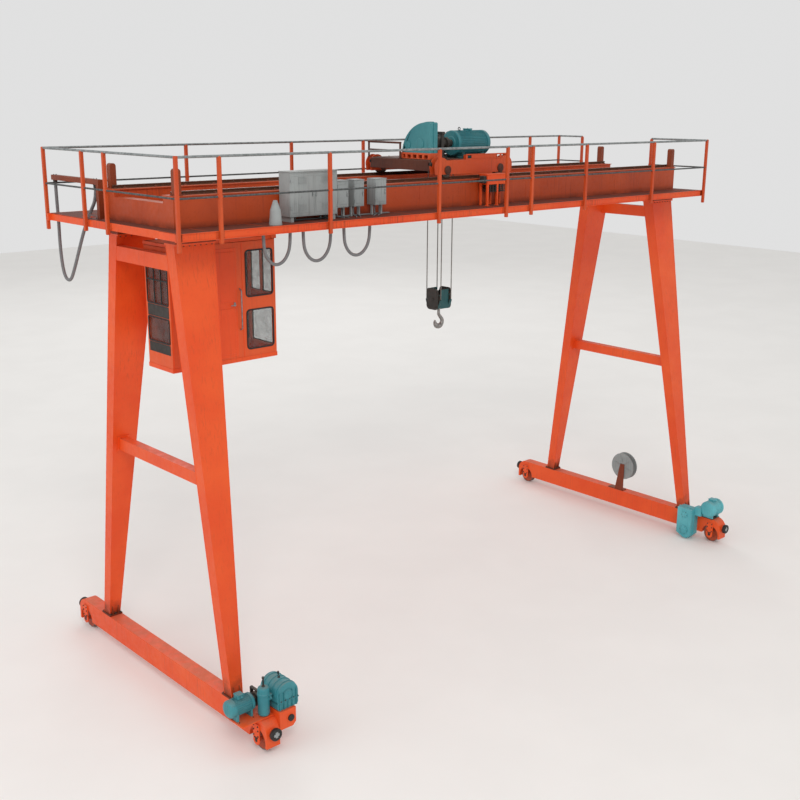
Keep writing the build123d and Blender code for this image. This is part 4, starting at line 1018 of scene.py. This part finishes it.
gussets = []
for side, end in CORNERS:
    foot_y, leg_y = end * LEG_FOOT_Y, end * (LEG_FOOT_Y - 0.0265)
    for x in (side * BEAM_X - 0.06, side * BEAM_X + 0.06):
        for face in BOTH:
            tip_y = foot_y + face * 0.15
            gusset = [(foot_y, LEG_FOOT), (tip_y, LEG_FOOT), (tip_y, LEG_FOOT + 0.016),
                      (leg_y + face * 0.111, 0.8), (leg_y, 0.8)]
            gussets.append(plate(gusset, x - 0.008, x + 0.008, "x"))
add_piece("leg_foot_gussets", "frame", BROWN, *gussets)


# Left travel drive: motor, drum brake with its thruster, and a round-topped gearbox

MOTOR_Y, MOTOR_Z, BRAKE_X, THRUSTER_Y = -2.8, 0.84, -6.75, -3.0
GEAR_X, GEAR_Z, GEAR_LEFT, GEAR_NEAR, GEAR_FAR = -6.405, 0.95, -6.615, -3.2, -2.72
BASE = 0.62

teal = [motor(-7.345, 1, MOTOR_Y, MOTOR_Z, 0.15, 0.475), terminal_box((-7.16, -7.04), (-2.86, -2.74),
                                                                      (0.97, 1.06))]
dark = []
for x in (-7.2, -6.93):
    teal.append(bar((x - 0.02, -2.92, BASE), (x + 0.02, -2.68, MOTOR_Z), 0.004))
    dark.append(bolts(0.012, [(x, y, BASE) for y in (-2.95, -2.65)]))
brake_drum = lathe([(0.0, 0.045), (0.03, 0.045), (0.032, 0.07), (0.06, 0.07), (0.062, 0.12), (0.165, 0.12),
                    (0.167, 0.07), (0.2, 0.07), (0.202, 0.045), (0.26, 0.045)], 40)
dark.append(at(brake_drum, "+x", (-6.865, MOTOR_Y, MOTOR_Z)))
for y_low, y_high, shoe_low in ((-2.955, -2.925, -2.925), (-2.675, -2.645, -2.695)):
    dark += [bar((BRAKE_X - 0.03, y_low, BASE), (BRAKE_X + 0.03, y_high, 1.0), 0.005),
             bar((BRAKE_X - 0.04, shoe_low, 0.78), (BRAKE_X + 0.04, shoe_low + 0.02, 0.9), 0.005)]
dark += [bar((BRAKE_X - 0.025, -3.03, 0.975), (BRAKE_X + 0.025, -2.64, 1.003), 0.005),
         pipe([(BRAKE_X, -2.98, 0.89), (BRAKE_X, -2.62, 0.89)], 0.009, 10),
         bolts(0.016, [(BRAKE_X, -2.64, 0.89)], "+y")]
thruster = lathe([(0.0, 0.05), (0.008, 0.075), (0.02, 0.092), (0.05, 0.1), (0.36, 0.1), (0.37, 0.108),
                  (0.4, 0.108),
                  (0.41, 0.1), (0.47, 0.1), (0.5, 0.09), (0.515, 0.07), (0.52, 0.02)], 40)
thruster_rod = lathe([(0.5, 0.03), (0.53, 0.03), (0.532, 0.015), (0.66, 0.015), (0.662, 0.022), (0.69, 0.022),
                      (0.692, 0.012)], 16)
teal += [moved(thruster, (BRAKE_X, THRUSTER_Y, BASE)), terminal_box((-6.72, -6.64), (-3.09, -3.02),
                                                                    (0.9, 1.0))]
dark.append(moved(thruster_rod, (BRAKE_X, THRUSTER_Y, BASE)))

gear_side = np.vstack([[(0.7, -6.59), (0.7, -6.22), (0.74, -6.195)],
                       arc((GEAR_Z, GEAR_X), 0.21, 90.0, -90.0, 25), [(0.74, GEAR_LEFT)]])
teal.append(plate(gear_side, GEAR_NEAR, GEAR_FAR, "y"))
rib = arc((0.0, 0.0), 0.222, 90.0, -90.0, 25)
rib = np.vstack([rib, rib[::-1] * 0.93]) + (GEAR_Z, GEAR_X)
teal += [plate(rib, y - 0.01, y + 0.01, "y") for y in (-3.14, -3.02, -2.9, -2.78)]
teal.append(bar((GEAR_LEFT, GEAR_NEAR - 0.012, 0.828), (-6.183, GEAR_FAR + 0.012, 0.852), 0.004))
for x in GEAR_LEFT + (np.arange(5) + 0.5) * 0.084:
    teal.append(bar((x - 0.006, GEAR_NEAR - 0.025, 0.71), (x + 0.006, GEAR_NEAR, 1.02), 0.002))
    dark.append(bolts(0.012, [(x + 0.03, GEAR_NEAR - 0.004, 0.852)]))
cover = lathe([(0.0, 0.09), (0.012, 0.09), (0.014, 0.078), (0.02, 0.074)], 28)
teal += [at(cover, "-y", (GEAR_X, GEAR_NEAR, 0.95)), at(cover, "+x", (-6.195, -2.96, 0.9))]
breather = lathe([(0.0, 0.014), (0.03, 0.014), (0.034, 0.02), (0.045, 0.02), (0.05, 0.014)], 12)
dark += [moved(eye_bolt(0.022), (GEAR_X, -2.96, GEAR_Z + 0.208)), moved(breather, (-6.33, -2.84, 1.142))]
soften(add_piece("left_drive_housings", "frame", DRIVE_TEAL, *teal, stands_for=("left_travel_drive",)), 0.003)
add_piece("left_drive_brake", "frame", DARK, *dark)
add_piece("left_drive_base", "frame", ORANGE, bar((-7.25, -3.1, 0.6), (GEAR_LEFT, -2.65, BASE), 0.004))


# Right travel drive: a flat chamfered casing with two round caps, and its motor

CASE_LEFT, CASE_RIGHT, CASE_Y, FLANGE_LEFT, FLANGE_RIGHT = 6.335, 6.615, -2.4175, 6.428, 6.452
casing = [(-2.215, 0.78), (-2.62, 0.78), (-2.62, 0.13), (-2.52, 0.03), (-2.42, 0.03), (-2.215, 0.13)]
flange = [(-2.2, 0.795), (-2.635, 0.795), (-2.635, 0.125), (-2.527, 0.016), (-2.415, 0.016), (-2.2, 0.12)]
teal, dark = [plate(casing, CASE_LEFT, CASE_RIGHT, "x"), plate(flange, FLANGE_LEFT, FLANGE_RIGHT, "x")], []
for z, radius in ((0.62, 0.08), (0.23, 0.112)):
    cap = lathe([(0.0, radius), (0.016, radius), (0.02, 0.9 * radius), (0.024, 0.4 * radius),
                 (0.03, 0.35 * radius)], 32)
    ring = spun(moved(bolt(0.009), (0.86 * radius, 0.0, 0.016)), 6)
    teal.append(at(cap, "-x", (CASE_LEFT, CASE_Y, z)))
    dark.append(at(ring, "-x", (CASE_LEFT, CASE_Y, z)))
teal += [motor(6.45, 1, -2.95, 0.86, 0.2, 0.45), terminal_box((6.605, 6.745), (-3.02, -2.88), (1.04, 1.1))]
for x in (6.59, 6.83):
    teal.append(bar((x - 0.02, -3.05, BASE), (x + 0.02, -2.79, 0.8), 0.004))
    dark.append(bolts(0.012, [(x, y, BASE) for y in (-3.02, -2.77)]))
teal.append(bar((6.435, -2.8, 0.64), (6.603, -2.62, 0.86), 0.01))
dark += [bar((6.57, -3.05, 0.6), (6.885, -2.75, BASE), 0.004),
         bolts(0.01, [(FLANGE_RIGHT, y, z) for y in (-2.628, -2.207) for z in (0.2, 0.35, 0.5, 0.65)], "+x")]
soften(add_piece("right_drive_housings", "frame", PALE_TEAL, *teal, stands_for=("right_travel_drive",)),
       0.003)
add_piece("right_drive_bolts", "frame", DARK, *dark)


# Cable reel: a dished spool with ribs, its turns of cable and its hub

REEL = (6.75, -0.26, 1.26)
RIM, TURN, LAYER = 0.071, 0.021, 0.0185
flank = [(0.05, 0.15), (0.05, 0.18), (0.066, 0.34), (0.075, 0.34), (0.075, 0.32), (0.06, 0.17),
         (0.075, 0.07), (0.075, 0.031)]
spool = [lathe([(-z, radius) for z, radius in flank[::-1]] + flank, 56, loop=True)]
spool += [moved(hoop(0.338, 0.007, 56), (0.0, 0.0, z)) for z in (-RIM, RIM)]
spool += [spun(bar((0.09, -0.008, z - 0.004), (0.32, 0.008, z + 0.004), 0.002), 6, 0.3) for z in (-RIM, RIM)]
add_piece("reel_spool", "reel", GREY, at(join(*spool), "+x", REEL), stands_for=("cable_reel",))
wraps = []
for layer in range(6):
    count = 5 - layer % 2
    wraps += [hoop(0.161 + LAYER * layer, 0.0105, 48, 8, (row - (count - 1) / 2) * TURN)
              for row in range(count)]
add_piece("reel_cable_turns", "reel", CABLE, at(join(*wraps), "+x", REEL))
hub = lathe([(0.076, 0.06), (0.082, 0.06), (0.084, 0.04), (0.089, 0.035)], 24)
add_piece("reel_hub", "frame", DARK, at(hub, "+x", REEL))


# Cab: walls with round-cornered windows, their glass and the bars behind

WALL, MIDDLE_BAR, CELL_LEFT = 0.045, 6.95, -5.2


def window_cell(x_limits, z_limits, cell_x, cell_z, corner, y_limits):
    """A rectangle of wall with a round-cornered window in it: quarter circles at the window's corners,
    each of whose points is joined to the rectangle where its direction meets it."""
    turn = np.radians(np.arange(0.0, 91.0, 15.0))
    share = math.cos(math.pi / 4)
    rings = []
    for quarter, (sign_x, sign_z) in enumerate(((1, 1), (-1, 1), (-1, -1), (1, -1))):
        across, rise = (np.cos(turn), np.sin(turn)) if quarter % 2 == 0 else (np.sin(turn), np.cos(turn))
        centre_x = x_limits[sign_x > 0] - sign_x * corner
        centre_z = z_limits[sign_z > 0] - sign_z * corner
        inner_x, inner_z = centre_x + sign_x * corner * across, centre_z + sign_z * corner * rise
        outer_x = centre_x + np.minimum(across / share, 1.0) * (cell_x[sign_x > 0] - centre_x)
        outer_z = centre_z + np.minimum(rise / share, 1.0) * (cell_z[sign_z > 0] - centre_z)
        ring = np.zeros((len(turn), 4, 3))
        ring[:, (0, 3), 0], ring[:, (1, 2), 0] = inner_x[:, None], outer_x[:, None]
        ring[:, :2, 1], ring[:, 2:, 1] = y_limits
        ring[:, (0, 3), 2], ring[:, (1, 2), 2] = inner_z[:, None], outer_z[:, None]
        rings.append(ring)
    return skin(np.vstack(rings), loop=True)


def pane(x_limits, z_limits, corner, y_middle):
    """A sheet of glass 8 mm thick in the shape of a round-cornered window."""
    cell = window_cell(x_limits, z_limits, x_limits, z_limits, corner, (0.0, 1.0))
    edge = cell[0].reshape(-1, 4, 3)[:, 0][:, [0, 2]]
    return skin(np.stack([np.c_[edge[:, 0], np.full(len(edge), y_middle + half), edge[:, 1]]
                          for half in (-0.004, 0.004)]))


def panel(x_limits, y_limits, z_limits):
    """A flat piece of wall between windows: two rings of four corners."""
    (left, right), (low, high) = x_limits, z_limits
    corners = ((left, low), (right, low), (right, high), (left, high))
    return skin(np.array([[(x, y, z) for x, z in corners] for y in y_limits]))


glass = []
for y, side in CAB_SIDES:
    name, y_limits = ("near", (y, y + WALL)) if side < 0 else ("far", (y - WALL, y))
    shapes = [panel((CAB_LEFT, CELL_LEFT), y_limits, (CAB_UNDER, CAB_ROOF))]
    shapes += [window_cell(SIDE_WINDOW, z_limits, (CELL_LEFT, CAB_RIGHT), cell_z, SIDE_CORNER, y_limits)
               for z_limits, cell_z in ((LOWER_PANE, (CAB_UNDER, MIDDLE_BAR)),
                                        (UPPER_PANE, (MIDDLE_BAR, CAB_ROOF)))]
    add_piece(f"cab_{name}_wall_panels", "frame", CAB_PAINT, *shapes, stands_for=(f"cab_{name}_wall",))
for x_limits, z_limits in SIDE_PANES:
    glass += [pane(x_limits, z_limits, SIDE_CORNER, y - side * WALL / 2) for y, side in CAB_SIDES]
for name, depth, panes in (("front", (-CAB_RIGHT, WALL - CAB_RIGHT), (FRONT_PANES[2], *FRONT_PANES[:2])),
                           ("rear", (-CAB_LEFT - WALL, -CAB_LEFT), REAR_PANES[::-1])):
    shapes = []
    for y_limits, z_limits in panes:
        cell_y = (CAB_NEAR + WALL if y_limits[0] < -0.1 else -0.09,
                  CAB_FAR - WALL if y_limits[1] > 0.0 else -0.09)
        cell_z = (MIDDLE_BAR, CAB_ROOF) if z_limits == UPPER_PANE else (CAB_UNDER, MIDDLE_BAR)
        shapes.append(turned_flat(window_cell(y_limits, z_limits, cell_y, cell_z, END_CORNER, depth)))
    add_piece(f"cab_{name}_wall_panels", "frame", CAB_PAINT, *shapes, stands_for=(f"cab_{name}_wall",))
for panes, depth in ((FRONT_PANES, WALL / 2 - CAB_RIGHT), (REAR_PANES, -CAB_LEFT - WALL / 2)):
    glass += [turned_flat(pane(y_limits, z_limits, END_CORNER, depth)) for y_limits, z_limits in panes]
add_piece("cab_panes", "frame", GLASS, *glass, stands_for=("cab_glazing",))
rear_bars = [bar((CAB_LEFT - 0.006, y - 0.012, 7.08), (CAB_LEFT + 0.012, y + 0.012, 7.87), 0.003)
             for y in (-0.2, 0.02)]
rear_bars.append(bar((CAB_LEFT - 0.006, -0.42, 7.46), (CAB_LEFT + 0.012, 0.24, 7.484), 0.003))
rear_bars += [bar((CAB_LEFT - 0.005, -0.43, z_low), (CAB_LEFT + 0.012, 0.25, z_high), 0.003)
              for z_low, z_high in ((6.85, 7.05), (6.22, 6.39))]
add_piece("cab_rear_bars", "frame", DARK, *rear_bars)


# Access step: a box on legs with dark slats under it

step = [bar((0.08, -1.352, 8.83), (0.67, -1.122, 9.03), 0.006),
        bar((0.07, -1.362, 9.018), (0.68, -1.122, 9.034), 0.004),
        bar((0.08, -1.36, 8.9), (0.67, -1.35, 8.92), 0.003)]
for x in (0.08, 0.355, 0.625):
    step += [bar((x, y, DECK_TOP), (x + 0.045, y + 0.045, 8.84), 0.004) for y in (-1.352, -1.17)]
    step.append(bar((x - 0.015, -1.37, DECK_TOP - 0.002), (x + 0.06, -1.29, DECK_TOP + 0.008), 0.002))
soften(add_piece("step_frame", "frame", ORANGE, *step, stands_for=("access_step",)), 0.002)
slats = [bar((0.13, -1.345, z), (0.62, -1.13, z + 0.012), 0.003) for z in (8.69, 8.725, 8.76, 8.795)]
slats += [bar((x, -1.35, 8.68), (x + 0.02, -1.33, 8.83), 0.003) for x in (0.16, 0.24, 0.32, 0.44, 0.52, 0.6)]
slats.append(bar((0.0, -1.33, 8.86), (0.075, -1.2, 9.0), 0.006))
add_piece("step_slats", "frame", DARK, *slats)


# Trolley: cheeks with rounded ends, deck round the well, bearings, fascia and guard rail

TROLLEY_LEFT, TROLLEY_RIGHT, TROLLEY_UNDER, BEAM_LEVEL, DECK_LEVEL = -1.05, 1.15, 9.045, 9.31, 9.322
AXLES, AXLE_Z, CHEEK_END, CHEEK_Z = (-0.7, 0.8), 9.1253, 0.19, 9.177
CHEEKS = ((0.865, 0.877), (1.003, 1.015))
ANCHORS = (-0.04, 0.26)
ROPE_Y = 0.2113


def cheek_outline():
    """A side cheek in z and x: straight foot, ends rounded by arcs of 190 mm and a lower middle."""
    return np.vstack([[(TROLLEY_UNDER, TROLLEY_LEFT + 0.02)],
                      arc((CHEEK_Z, TROLLEY_LEFT + CHEEK_END), CHEEK_END, -90.0, 47.0, 16),
                      arc((CHEEK_Z, TROLLEY_RIGHT - CHEEK_END), CHEEK_END, -47.0, 90.0, 16),
                      [(TROLLEY_UNDER, TROLLEY_RIGHT - 0.02)]])


orange, brown, dark = [], [], []
bearing_cap = lathe([(0.0, 0.085), (0.016, 0.085), (0.02, 0.078), (0.02, 0.055), (0.026, 0.05),
                     (0.028, 0.02)], 32)
cap_bolts = spun(moved(bolt(0.009), (0.067, 0.0, 0.02)), 4, 0.785)
for end in BOTH:
    orange += [plate(cheek_outline(), *sorted((end * near, end * far)), "y") for near, far in CHEEKS]
    low, high = sorted((end * CHEEKS[0][1], end * CHEEKS[1][0]))
    orange.append(bar((-0.5, low, BEAM_LEVEL - 0.012), (0.6, high, BEAM_LEVEL), 0.002))
    orange += [bar((x - 0.006, low, TROLLEY_UNDER + 0.01), (x + 0.006, high, BEAM_LEVEL - 0.006), 0.002)
               for x in (-0.5, 0.05, 0.6)]
    for x in AXLES:
        for face, level in ((1, CHEEKS[1][1]), (-1, CHEEKS[0][0])):
            axis, place = toward("y", face * end), (x, end * level, AXLE_Z)
            brown.append(at(bearing_cap, axis, place))
            dark.append(at(cap_bolts, axis, place))
brown += [bar((left, -0.87, 9.11), (left + 0.18, 0.87, BEAM_LEVEL), 0.008)
          for left in (TROLLEY_LEFT, TROLLEY_RIGHT - 0.18)]
brown += [bar((left, low, BEAM_LEVEL), (right, high, DECK_LEVEL), 0.002) for left, right, low, high in (
    (-0.98, -0.27, -0.87, 0.87), (0.49, 1.08, -0.87, 0.87), (-0.27, 0.49, -0.87, -0.32), (-0.27, 0.49, 0.32,
                                                                                          0.87))]
brown += [bar((-0.28, y, 9.2), (0.5, y + math.copysign(0.012, y), 9.36), 0.003) for y in (-0.32, 0.32)]
brown += [bar((x, -0.33, 9.2), (x + 0.012, 0.33, 9.36), 0.003) for x in (-0.282, 0.49)]
brown += [bar((-0.87, y - 0.04, 9.2), (0.97, y + 0.04, BEAM_LEVEL), 0.004) for y in (-0.5, 0.5)]
orange += [bar((-0.18, -1.0, low), (1.02, -0.985, high), 0.003) for low, high in ((9.3, 9.33), (9.39, 9.415))]
orange += [bar((x, -1.0, 9.32), (x + wide, -0.985, 9.4), 0.003)
           for x, wide in ((-0.18, 0.05), (-0.02, 0.72), (0.8, 0.05), (0.97, 0.05))]
orange += [bar((x, -0.99, 9.31), (x + 0.012, -0.9, 9.4), 0.003) for x in (-0.15, 0.3, 0.72, 0.98)]
orange += [bar((-0.98, -0.8, 9.4), (-0.74, 0.02, 9.44), 0.004),
           bar((-0.985, -0.8, DECK_LEVEL), (-0.735, 0.02, 9.335), 0.003)]
orange += [bar((-0.98, y, 9.33), (-0.74, y + 0.06, 9.41), 0.004)
           for y in (-0.8, -0.64, -0.48, -0.32, -0.16, -0.04)]
soften(add_piece("trolley_cheeks", "trolley", POST_PAINT, *orange, stands_for=("trolley_frame",)), 0.002)

GUARD_X, GUARD_TOP = -1.02, 9.62
brown += [pipe([(GUARD_X, y, DECK_LEVEL), (GUARD_X, y, GUARD_TOP)], 0.02, 14) for y in (0.0, 0.94)]
brown += [pipe([(GUARD_X, -0.02, GUARD_TOP), (GUARD_X, 0.96, GUARD_TOP)], 0.02, 14),
          pipe([(GUARD_X, 0.0, 9.47), (GUARD_X, 0.94, 9.47)], 0.014, 12)]
brown += [bar((GUARD_X - 0.03, y - 0.04, DECK_LEVEL), (GUARD_X + 0.03, y + 0.02, DECK_LEVEL + 0.01), 0.002)
          for y in (0.01, 0.93)]
brown.append(bar((-0.32, -0.236, 9.4), (0.54, -0.186, 9.45), 0.005))
brown += [bar((x, -0.236, 9.3), (x + 0.05, -0.186, 9.45), 0.004) for x in (-0.32, 0.49)]
soften(add_piece("trolley_deck", "trolley", TROLLEY_BROWN, *brown), 0.002)

anchor = lathe([(9.31, 0.016), (9.315, 0.022), (9.38, 0.034), (9.402, 0.034)], 16)
dark += [copies(anchor, [(x, -ROPE_Y, 0.0) for x in ANCHORS]),
         bolts(0.014, [(x, -0.211, 9.45) for x in (-0.08, 0.0, 0.22, 0.3)]),
         bolts(0.012, [(x, y, DECK_LEVEL) for x in (-0.9, -0.6, 0.62, 0.95) for y in (-0.8, 0.8)])]
stop = lathe([(0.0, 0.05), (0.006, 0.05), (0.008, 0.036), (0.03, 0.038), (0.036, 0.03)], 24)
for y in (-0.86, 0.86):
    for x, way in ((TROLLEY_LEFT, -1), (TROLLEY_RIGHT, 1)):
        dark.append(at(stop, toward("x", way), (x - way * 0.036, y, 9.24)))
add_piece("trolley_fittings", "trolley", DARK, *dark)


# Rope drum with its grooves, flanges, bearings and turns of rope

DRUM_Y, DRUM_Z, DRUM_ENDS, GROOVE = 0.19, 9.59, (-0.33, 0.55), 0.02
along = np.linspace(*DRUM_ENDS, 265)
depth = 0.181 + 0.004 * np.abs(np.sin(np.pi * (along - DRUM_ENDS[0]) / GROOVE))
barrel = [(-0.4, 0.05), (-0.395, 0.07), (-0.345, 0.07), (-0.344, 0.235), (-0.33, 0.235), *zip(along, depth),
          (0.55, 0.235), (0.564, 0.235), (0.565, 0.07), (0.615, 0.07), (0.62, 0.05)]
drum = at(lathe(barrel, 56), "+x", (0.0, DRUM_Y, DRUM_Z))
bearing = np.vstack([[(DRUM_Y - 0.13, DECK_LEVEL), (DRUM_Y + 0.13, DECK_LEVEL), (DRUM_Y + 0.13, 9.35),
                      (DRUM_Y + 0.085, 9.38)],
                     arc((DRUM_Y, 9.565), 0.085, 0.0, 180.0, 17),
                     [(DRUM_Y - 0.085, 9.38), (DRUM_Y - 0.13, 9.35)]])
bearings = [plate(bearing, x, x + 0.05, "x") for x in (-0.395, 0.57)]
bearings.append(bolts(0.014, [(x, DRUM_Y + dy, 9.35) for x in (-0.37, 0.595) for dy in (-0.108, 0.108)]))
soften(add_piece("drum_barrel", "trolley", GREASY, drum, stands_for=("rope_drum",)), 0.0015)
soften(add_piece("drum_bearings", "trolley", BROWN, *bearings), 0.002)
turns = [at(hoop(0.19, 0.009, 48), "+x", (x, DRUM_Y, DRUM_Z))
         for x in (*np.arange(-0.31, -0.1, GROOVE), *np.arange(0.33, 0.54, GROOVE))]
add_piece("drum_rope_turns", "trolley", ROPE, *turns)


# Hoist motor with its coupling and brake, and the gear cover

HOIST_Y, HOIST_Z = -0.5, 9.613
teal = [motor(0.83, -1, HOIST_Y, HOIST_Z, 0.245, 0.94, 44), terminal_box((0.29, 0.43), (-0.56, -0.44),
                                                                         (9.84, 9.89))]
feet = [bar((x - 0.04, -0.72, DECK_LEVEL), (x + 0.04, -0.28, 9.43), 0.006) for x in (0.05, 0.6)]
feet += [bar((-0.09, y - 0.03, DECK_LEVEL), (0.72, y + 0.03, 9.36), 0.005) for y in (-0.69, -0.31)]
soften(add_piece("hoist_motor_body", "trolley", TEAL, *teal, stands_for=("hoist_motor",)), 0.0015)
add_piece("hoist_motor_feet", "trolley", DEEP_TEAL, *feet)
coupling = lathe([(-0.82, 0.06), (-0.62, 0.06), (-0.62, 0.12), (-0.6, 0.125), (-0.42, 0.125), (-0.4, 0.12),
                  (-0.4, 0.07), (-0.3, 0.07), (-0.295, 0.115), (-0.24, 0.115), (-0.235, 0.07),
                  (-0.11, 0.07)], 36)
thruster = lathe([(0.0, 0.07), (0.01, 0.08), (0.3, 0.08), (0.32, 0.06), (0.36, 0.02)], 28)
dark = [at(coupling, "+x", (0.0, HOIST_Y, HOIST_Z)), bar((-0.61, -0.7, DECK_LEVEL), (-0.41, -0.3, 9.36),
                                                         0.005)]
dark += [bar((-0.545, y, 9.35), (-0.475, y + 0.04, 9.81), 0.006) for y in (-0.68, -0.36)]
dark += [bar((-0.55, -0.7, 9.79), (-0.47, -0.3, 9.84), 0.006), moved(thruster, (-0.51, -0.24, DECK_LEVEL)),
         moved(eye_bolt(0.028), (0.12, HOIST_Y, 9.85)),
         bolts(0.016, [(x, y, 9.36) for x in (0.0, 0.66) for y in (-0.69, -0.31)])]
add_piece("hoist_brake", "trolley", DARK, *dark)


def cover_outline(grow):
    """The gear cover seen along x, in y and z: a straight near side and a top that falls as a quarter
    of an ellipse to the far side, grown outward by a margin."""
    angle = np.radians(np.linspace(90.0, 0.0, 25))
    curve = np.c_[-0.68 + (0.69 + grow) * np.cos(angle), 9.4 + (0.62 + grow) * np.sin(angle)]
    return np.vstack([[(-0.785 - grow, 9.44), (-0.785 - grow, 10.0 + grow), (-0.765, 10.02 + grow)],
                      curve, [(0.01 + grow, 9.44)]])


COVER_LEFT, COVER_RIGHT = -0.96, -0.76
teal = [plate(cover_outline(0.0), COVER_LEFT, COVER_RIGHT, "x"),
        plate(cover_outline(0.014), -0.872, -0.848, "x")]
for y, z, radius in ((HOIST_Y, HOIST_Z, 0.11), (-0.16, 9.58, 0.075)):
    boss = lathe([(0.0, radius), (0.012, radius), (0.016, 0.8 * radius), (0.02, 0.3 * radius)], 32)
    teal.append(at(boss, "-x", (COVER_LEFT, y, z)))
soften(add_piece("gear_cover_shell", "trolley", TEAL, *teal, stands_for=("gear_cover",)), 0.004)


# Hook block: grooved sheaves, rounded cheeks, skirts, rope guards and pins

BLOCK_X, BLOCK_Z = 0.11, 6.4
GUARDED = ((-0.068, -0.008), (0.228, 0.288))
groove = [(0.0, 0.182), (0.009, 0.187), (0.016, 0.2), (0.022, 0.2), (0.028, 0.19), (0.028, 0.06)]
sheave = lathe([(-z, radius) for z, radius in groove[:0:-1]] + groove, 56)
sheaves = [at(sheave, "+x", (BLOCK_X + dx, 0.0, BLOCK_Z)) for dx in (-0.15, 0.15)]
add_piece("block_sheaves", "hoist_block", GREASY, *sheaves, stands_for=("hook_block",))
rounded = np.vstack([arc((0.08, 6.265), 0.09, -90.0, 0.0, 8), arc((0.1, 6.555), 0.07, 0.0, 90.0, 8),
                     arc((-0.1, 6.555), 0.07, 90.0, 180.0, 8), arc((-0.08, 6.265), 0.09, 180.0, 270.0, 8)])
cheeks = [plate(rounded, x, x + 0.02, "x") for x in (-0.088, 0.288)]
cheeks += [bar((-0.07, -0.06, 6.34), (0.29, 0.06, 6.46), 0.01),
           bar((-0.07, -0.07, 6.2), (0.065, 0.07, 6.28), 0.01),
           bar((0.155, -0.07, 6.2), (0.29, 0.07, 6.28), 0.01)]
soften(add_piece("block_cheeks", "hoist_block", DARK, *cheeks), 0.003)
skirt = np.vstack([arc((0.08, 6.265), 0.09, -60.0, 0.0, 8), [(0.17, 6.5)]])
skirt = np.vstack([skirt, (skirt - (0.008, 0.0))[::-1]])
skirts = [plate(skirt * (side, 1), low, high, "x") for low, high in ((-0.068, -0.01), (0.23, 0.288))
          for side in (1, -1)]
skirts += [bar((-0.008, y, 6.2), (0.228, y + 0.008, 6.61), 0.003) for y in (-0.17, 0.162)]
guard = arc((0.0, 0.0), 0.206, -62.0, -4.0, 16)
guard = np.vstack([guard, guard[::-1] * 1.035]) + (0.0, BLOCK_Z)
skirts += [plate(guard * (side, 1), low, high, "x") for low, high in GUARDED for side in (1, -1)]
add_piece("block_skirts", "hoist_block", DEEP_TEAL, *skirts)
pins = []
pin_head = lathe([(0.0, 0.042), (0.01, 0.042), (0.012, 0.034), (0.016, 0.012)], 24)
for x, axis in ((-0.088, "-x"), (0.308, "+x")):
    pins += [at(pin_head, axis, (x, 0.0, BLOCK_Z)), bolts(0.012,
                                                          [(x, y, z) for y in (-0.12, 0.12)
                                                           for z in (6.24, 6.56)], axis)]
collar = lathe([(6.2, 0.036), (6.2, 0.065), (6.28, 0.065), (6.28, 0.036)], 32, loop=True)
add_piece("block_pins", "hoist_block", DARK, *pins, moved(collar, (BLOCK_X, 0.0, 0.0)))


# Hook: a forging that swells from its shank round the bowl and thins to its tip, and its nut

BOWL, BOWL_Z = 0.105, 5.905
shank = np.c_[np.full(7, BLOCK_X), np.linspace(6.33, 6.08, 7)]
sway = 0.5 - 0.5 * np.cos(np.linspace(0.0, np.pi, 10))[1:]
neck = np.c_[BLOCK_X + BOWL * sway, np.linspace(6.06, BOWL_Z, 9)]
path = np.vstack([shank, neck, arc((BLOCK_X, BOWL_Z), BOWL, -6.0, -200.0, 30)])
thickness = np.interp(np.linspace(0.0, 1.0, len(path)), [0.0, 0.13, 0.16, 0.35, 0.6, 0.75, 0.93, 1.0],
                      [0.03, 0.03, 0.034, 0.04, 0.055, 0.055, 0.032, 0.014])
forging = pipe(np.c_[path[:, 0], np.zeros(len(path)), path[:, 1]], thickness, 24, flat=(0, 1, 0))
nut = lathe([(6.285, 0.056), (6.29, 0.06), (6.325, 0.06), (6.332, 0.05)], 6)
add_piece("hook_forging", "hook", HOOK_STEEL, forging, moved(nut, (BLOCK_X, 0.0, 0.0)), stands_for=("hook",))


# Hoist ropes: six strands wound round each fall, from the anchors down to the sheaves

ROPE_TOP, LAY, STRANDS, STRAND_OUT, STRAND = 9.4, 0.12, 6, 0.0068, 0.0042
levels = np.linspace(ROPE_TOP, BLOCK_Z, 320)
strands = []
for number in range(STRANDS):
    wind = 2 * np.pi * (levels / LAY + number / STRANDS)
    strands.append(pipe(np.c_[STRAND_OUT * np.cos(wind), STRAND_OUT * np.sin(wind), levels], STRAND, 5,
                        flat=(1, 0, 0)))
for number, (x, y) in enumerate(((x, y) for x in ANCHORS for y in (-ROPE_Y, ROPE_Y)), start=1):
    rope = add_piece(f"hoist_rope_{number}", None, ROPE, moved(join(*strands), (x, y, 0.0)),
                     stands_for=("hoist_ropes",))
    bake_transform(rope)


# Floor

def add_floor():
    """A plain pale floor, 120 m square."""
    mesh = bpy.data.meshes.new("floor")
    mesh.from_pydata([(-60, -60, 0), (60, -60, 0), (60, 60, 0), (-60, 60, 0)], [], [(0, 1, 2, 3)])
    floor = bpy.data.objects.new("floor", mesh)
    scene.collection.objects.link(floor)
    material, node, place, shader = new_material("pale_floor")
    share = node("MapRange", (clouds(node, place, 2.5, 3.0), 0.4, 0.6))
    fill(shader, {"Base Color": laid_over(node, srgb("efedea"), (share, "f1efec")), "Roughness": 0.9})
    mesh.materials.append(material)
    floor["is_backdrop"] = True


add_floor()

low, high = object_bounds()
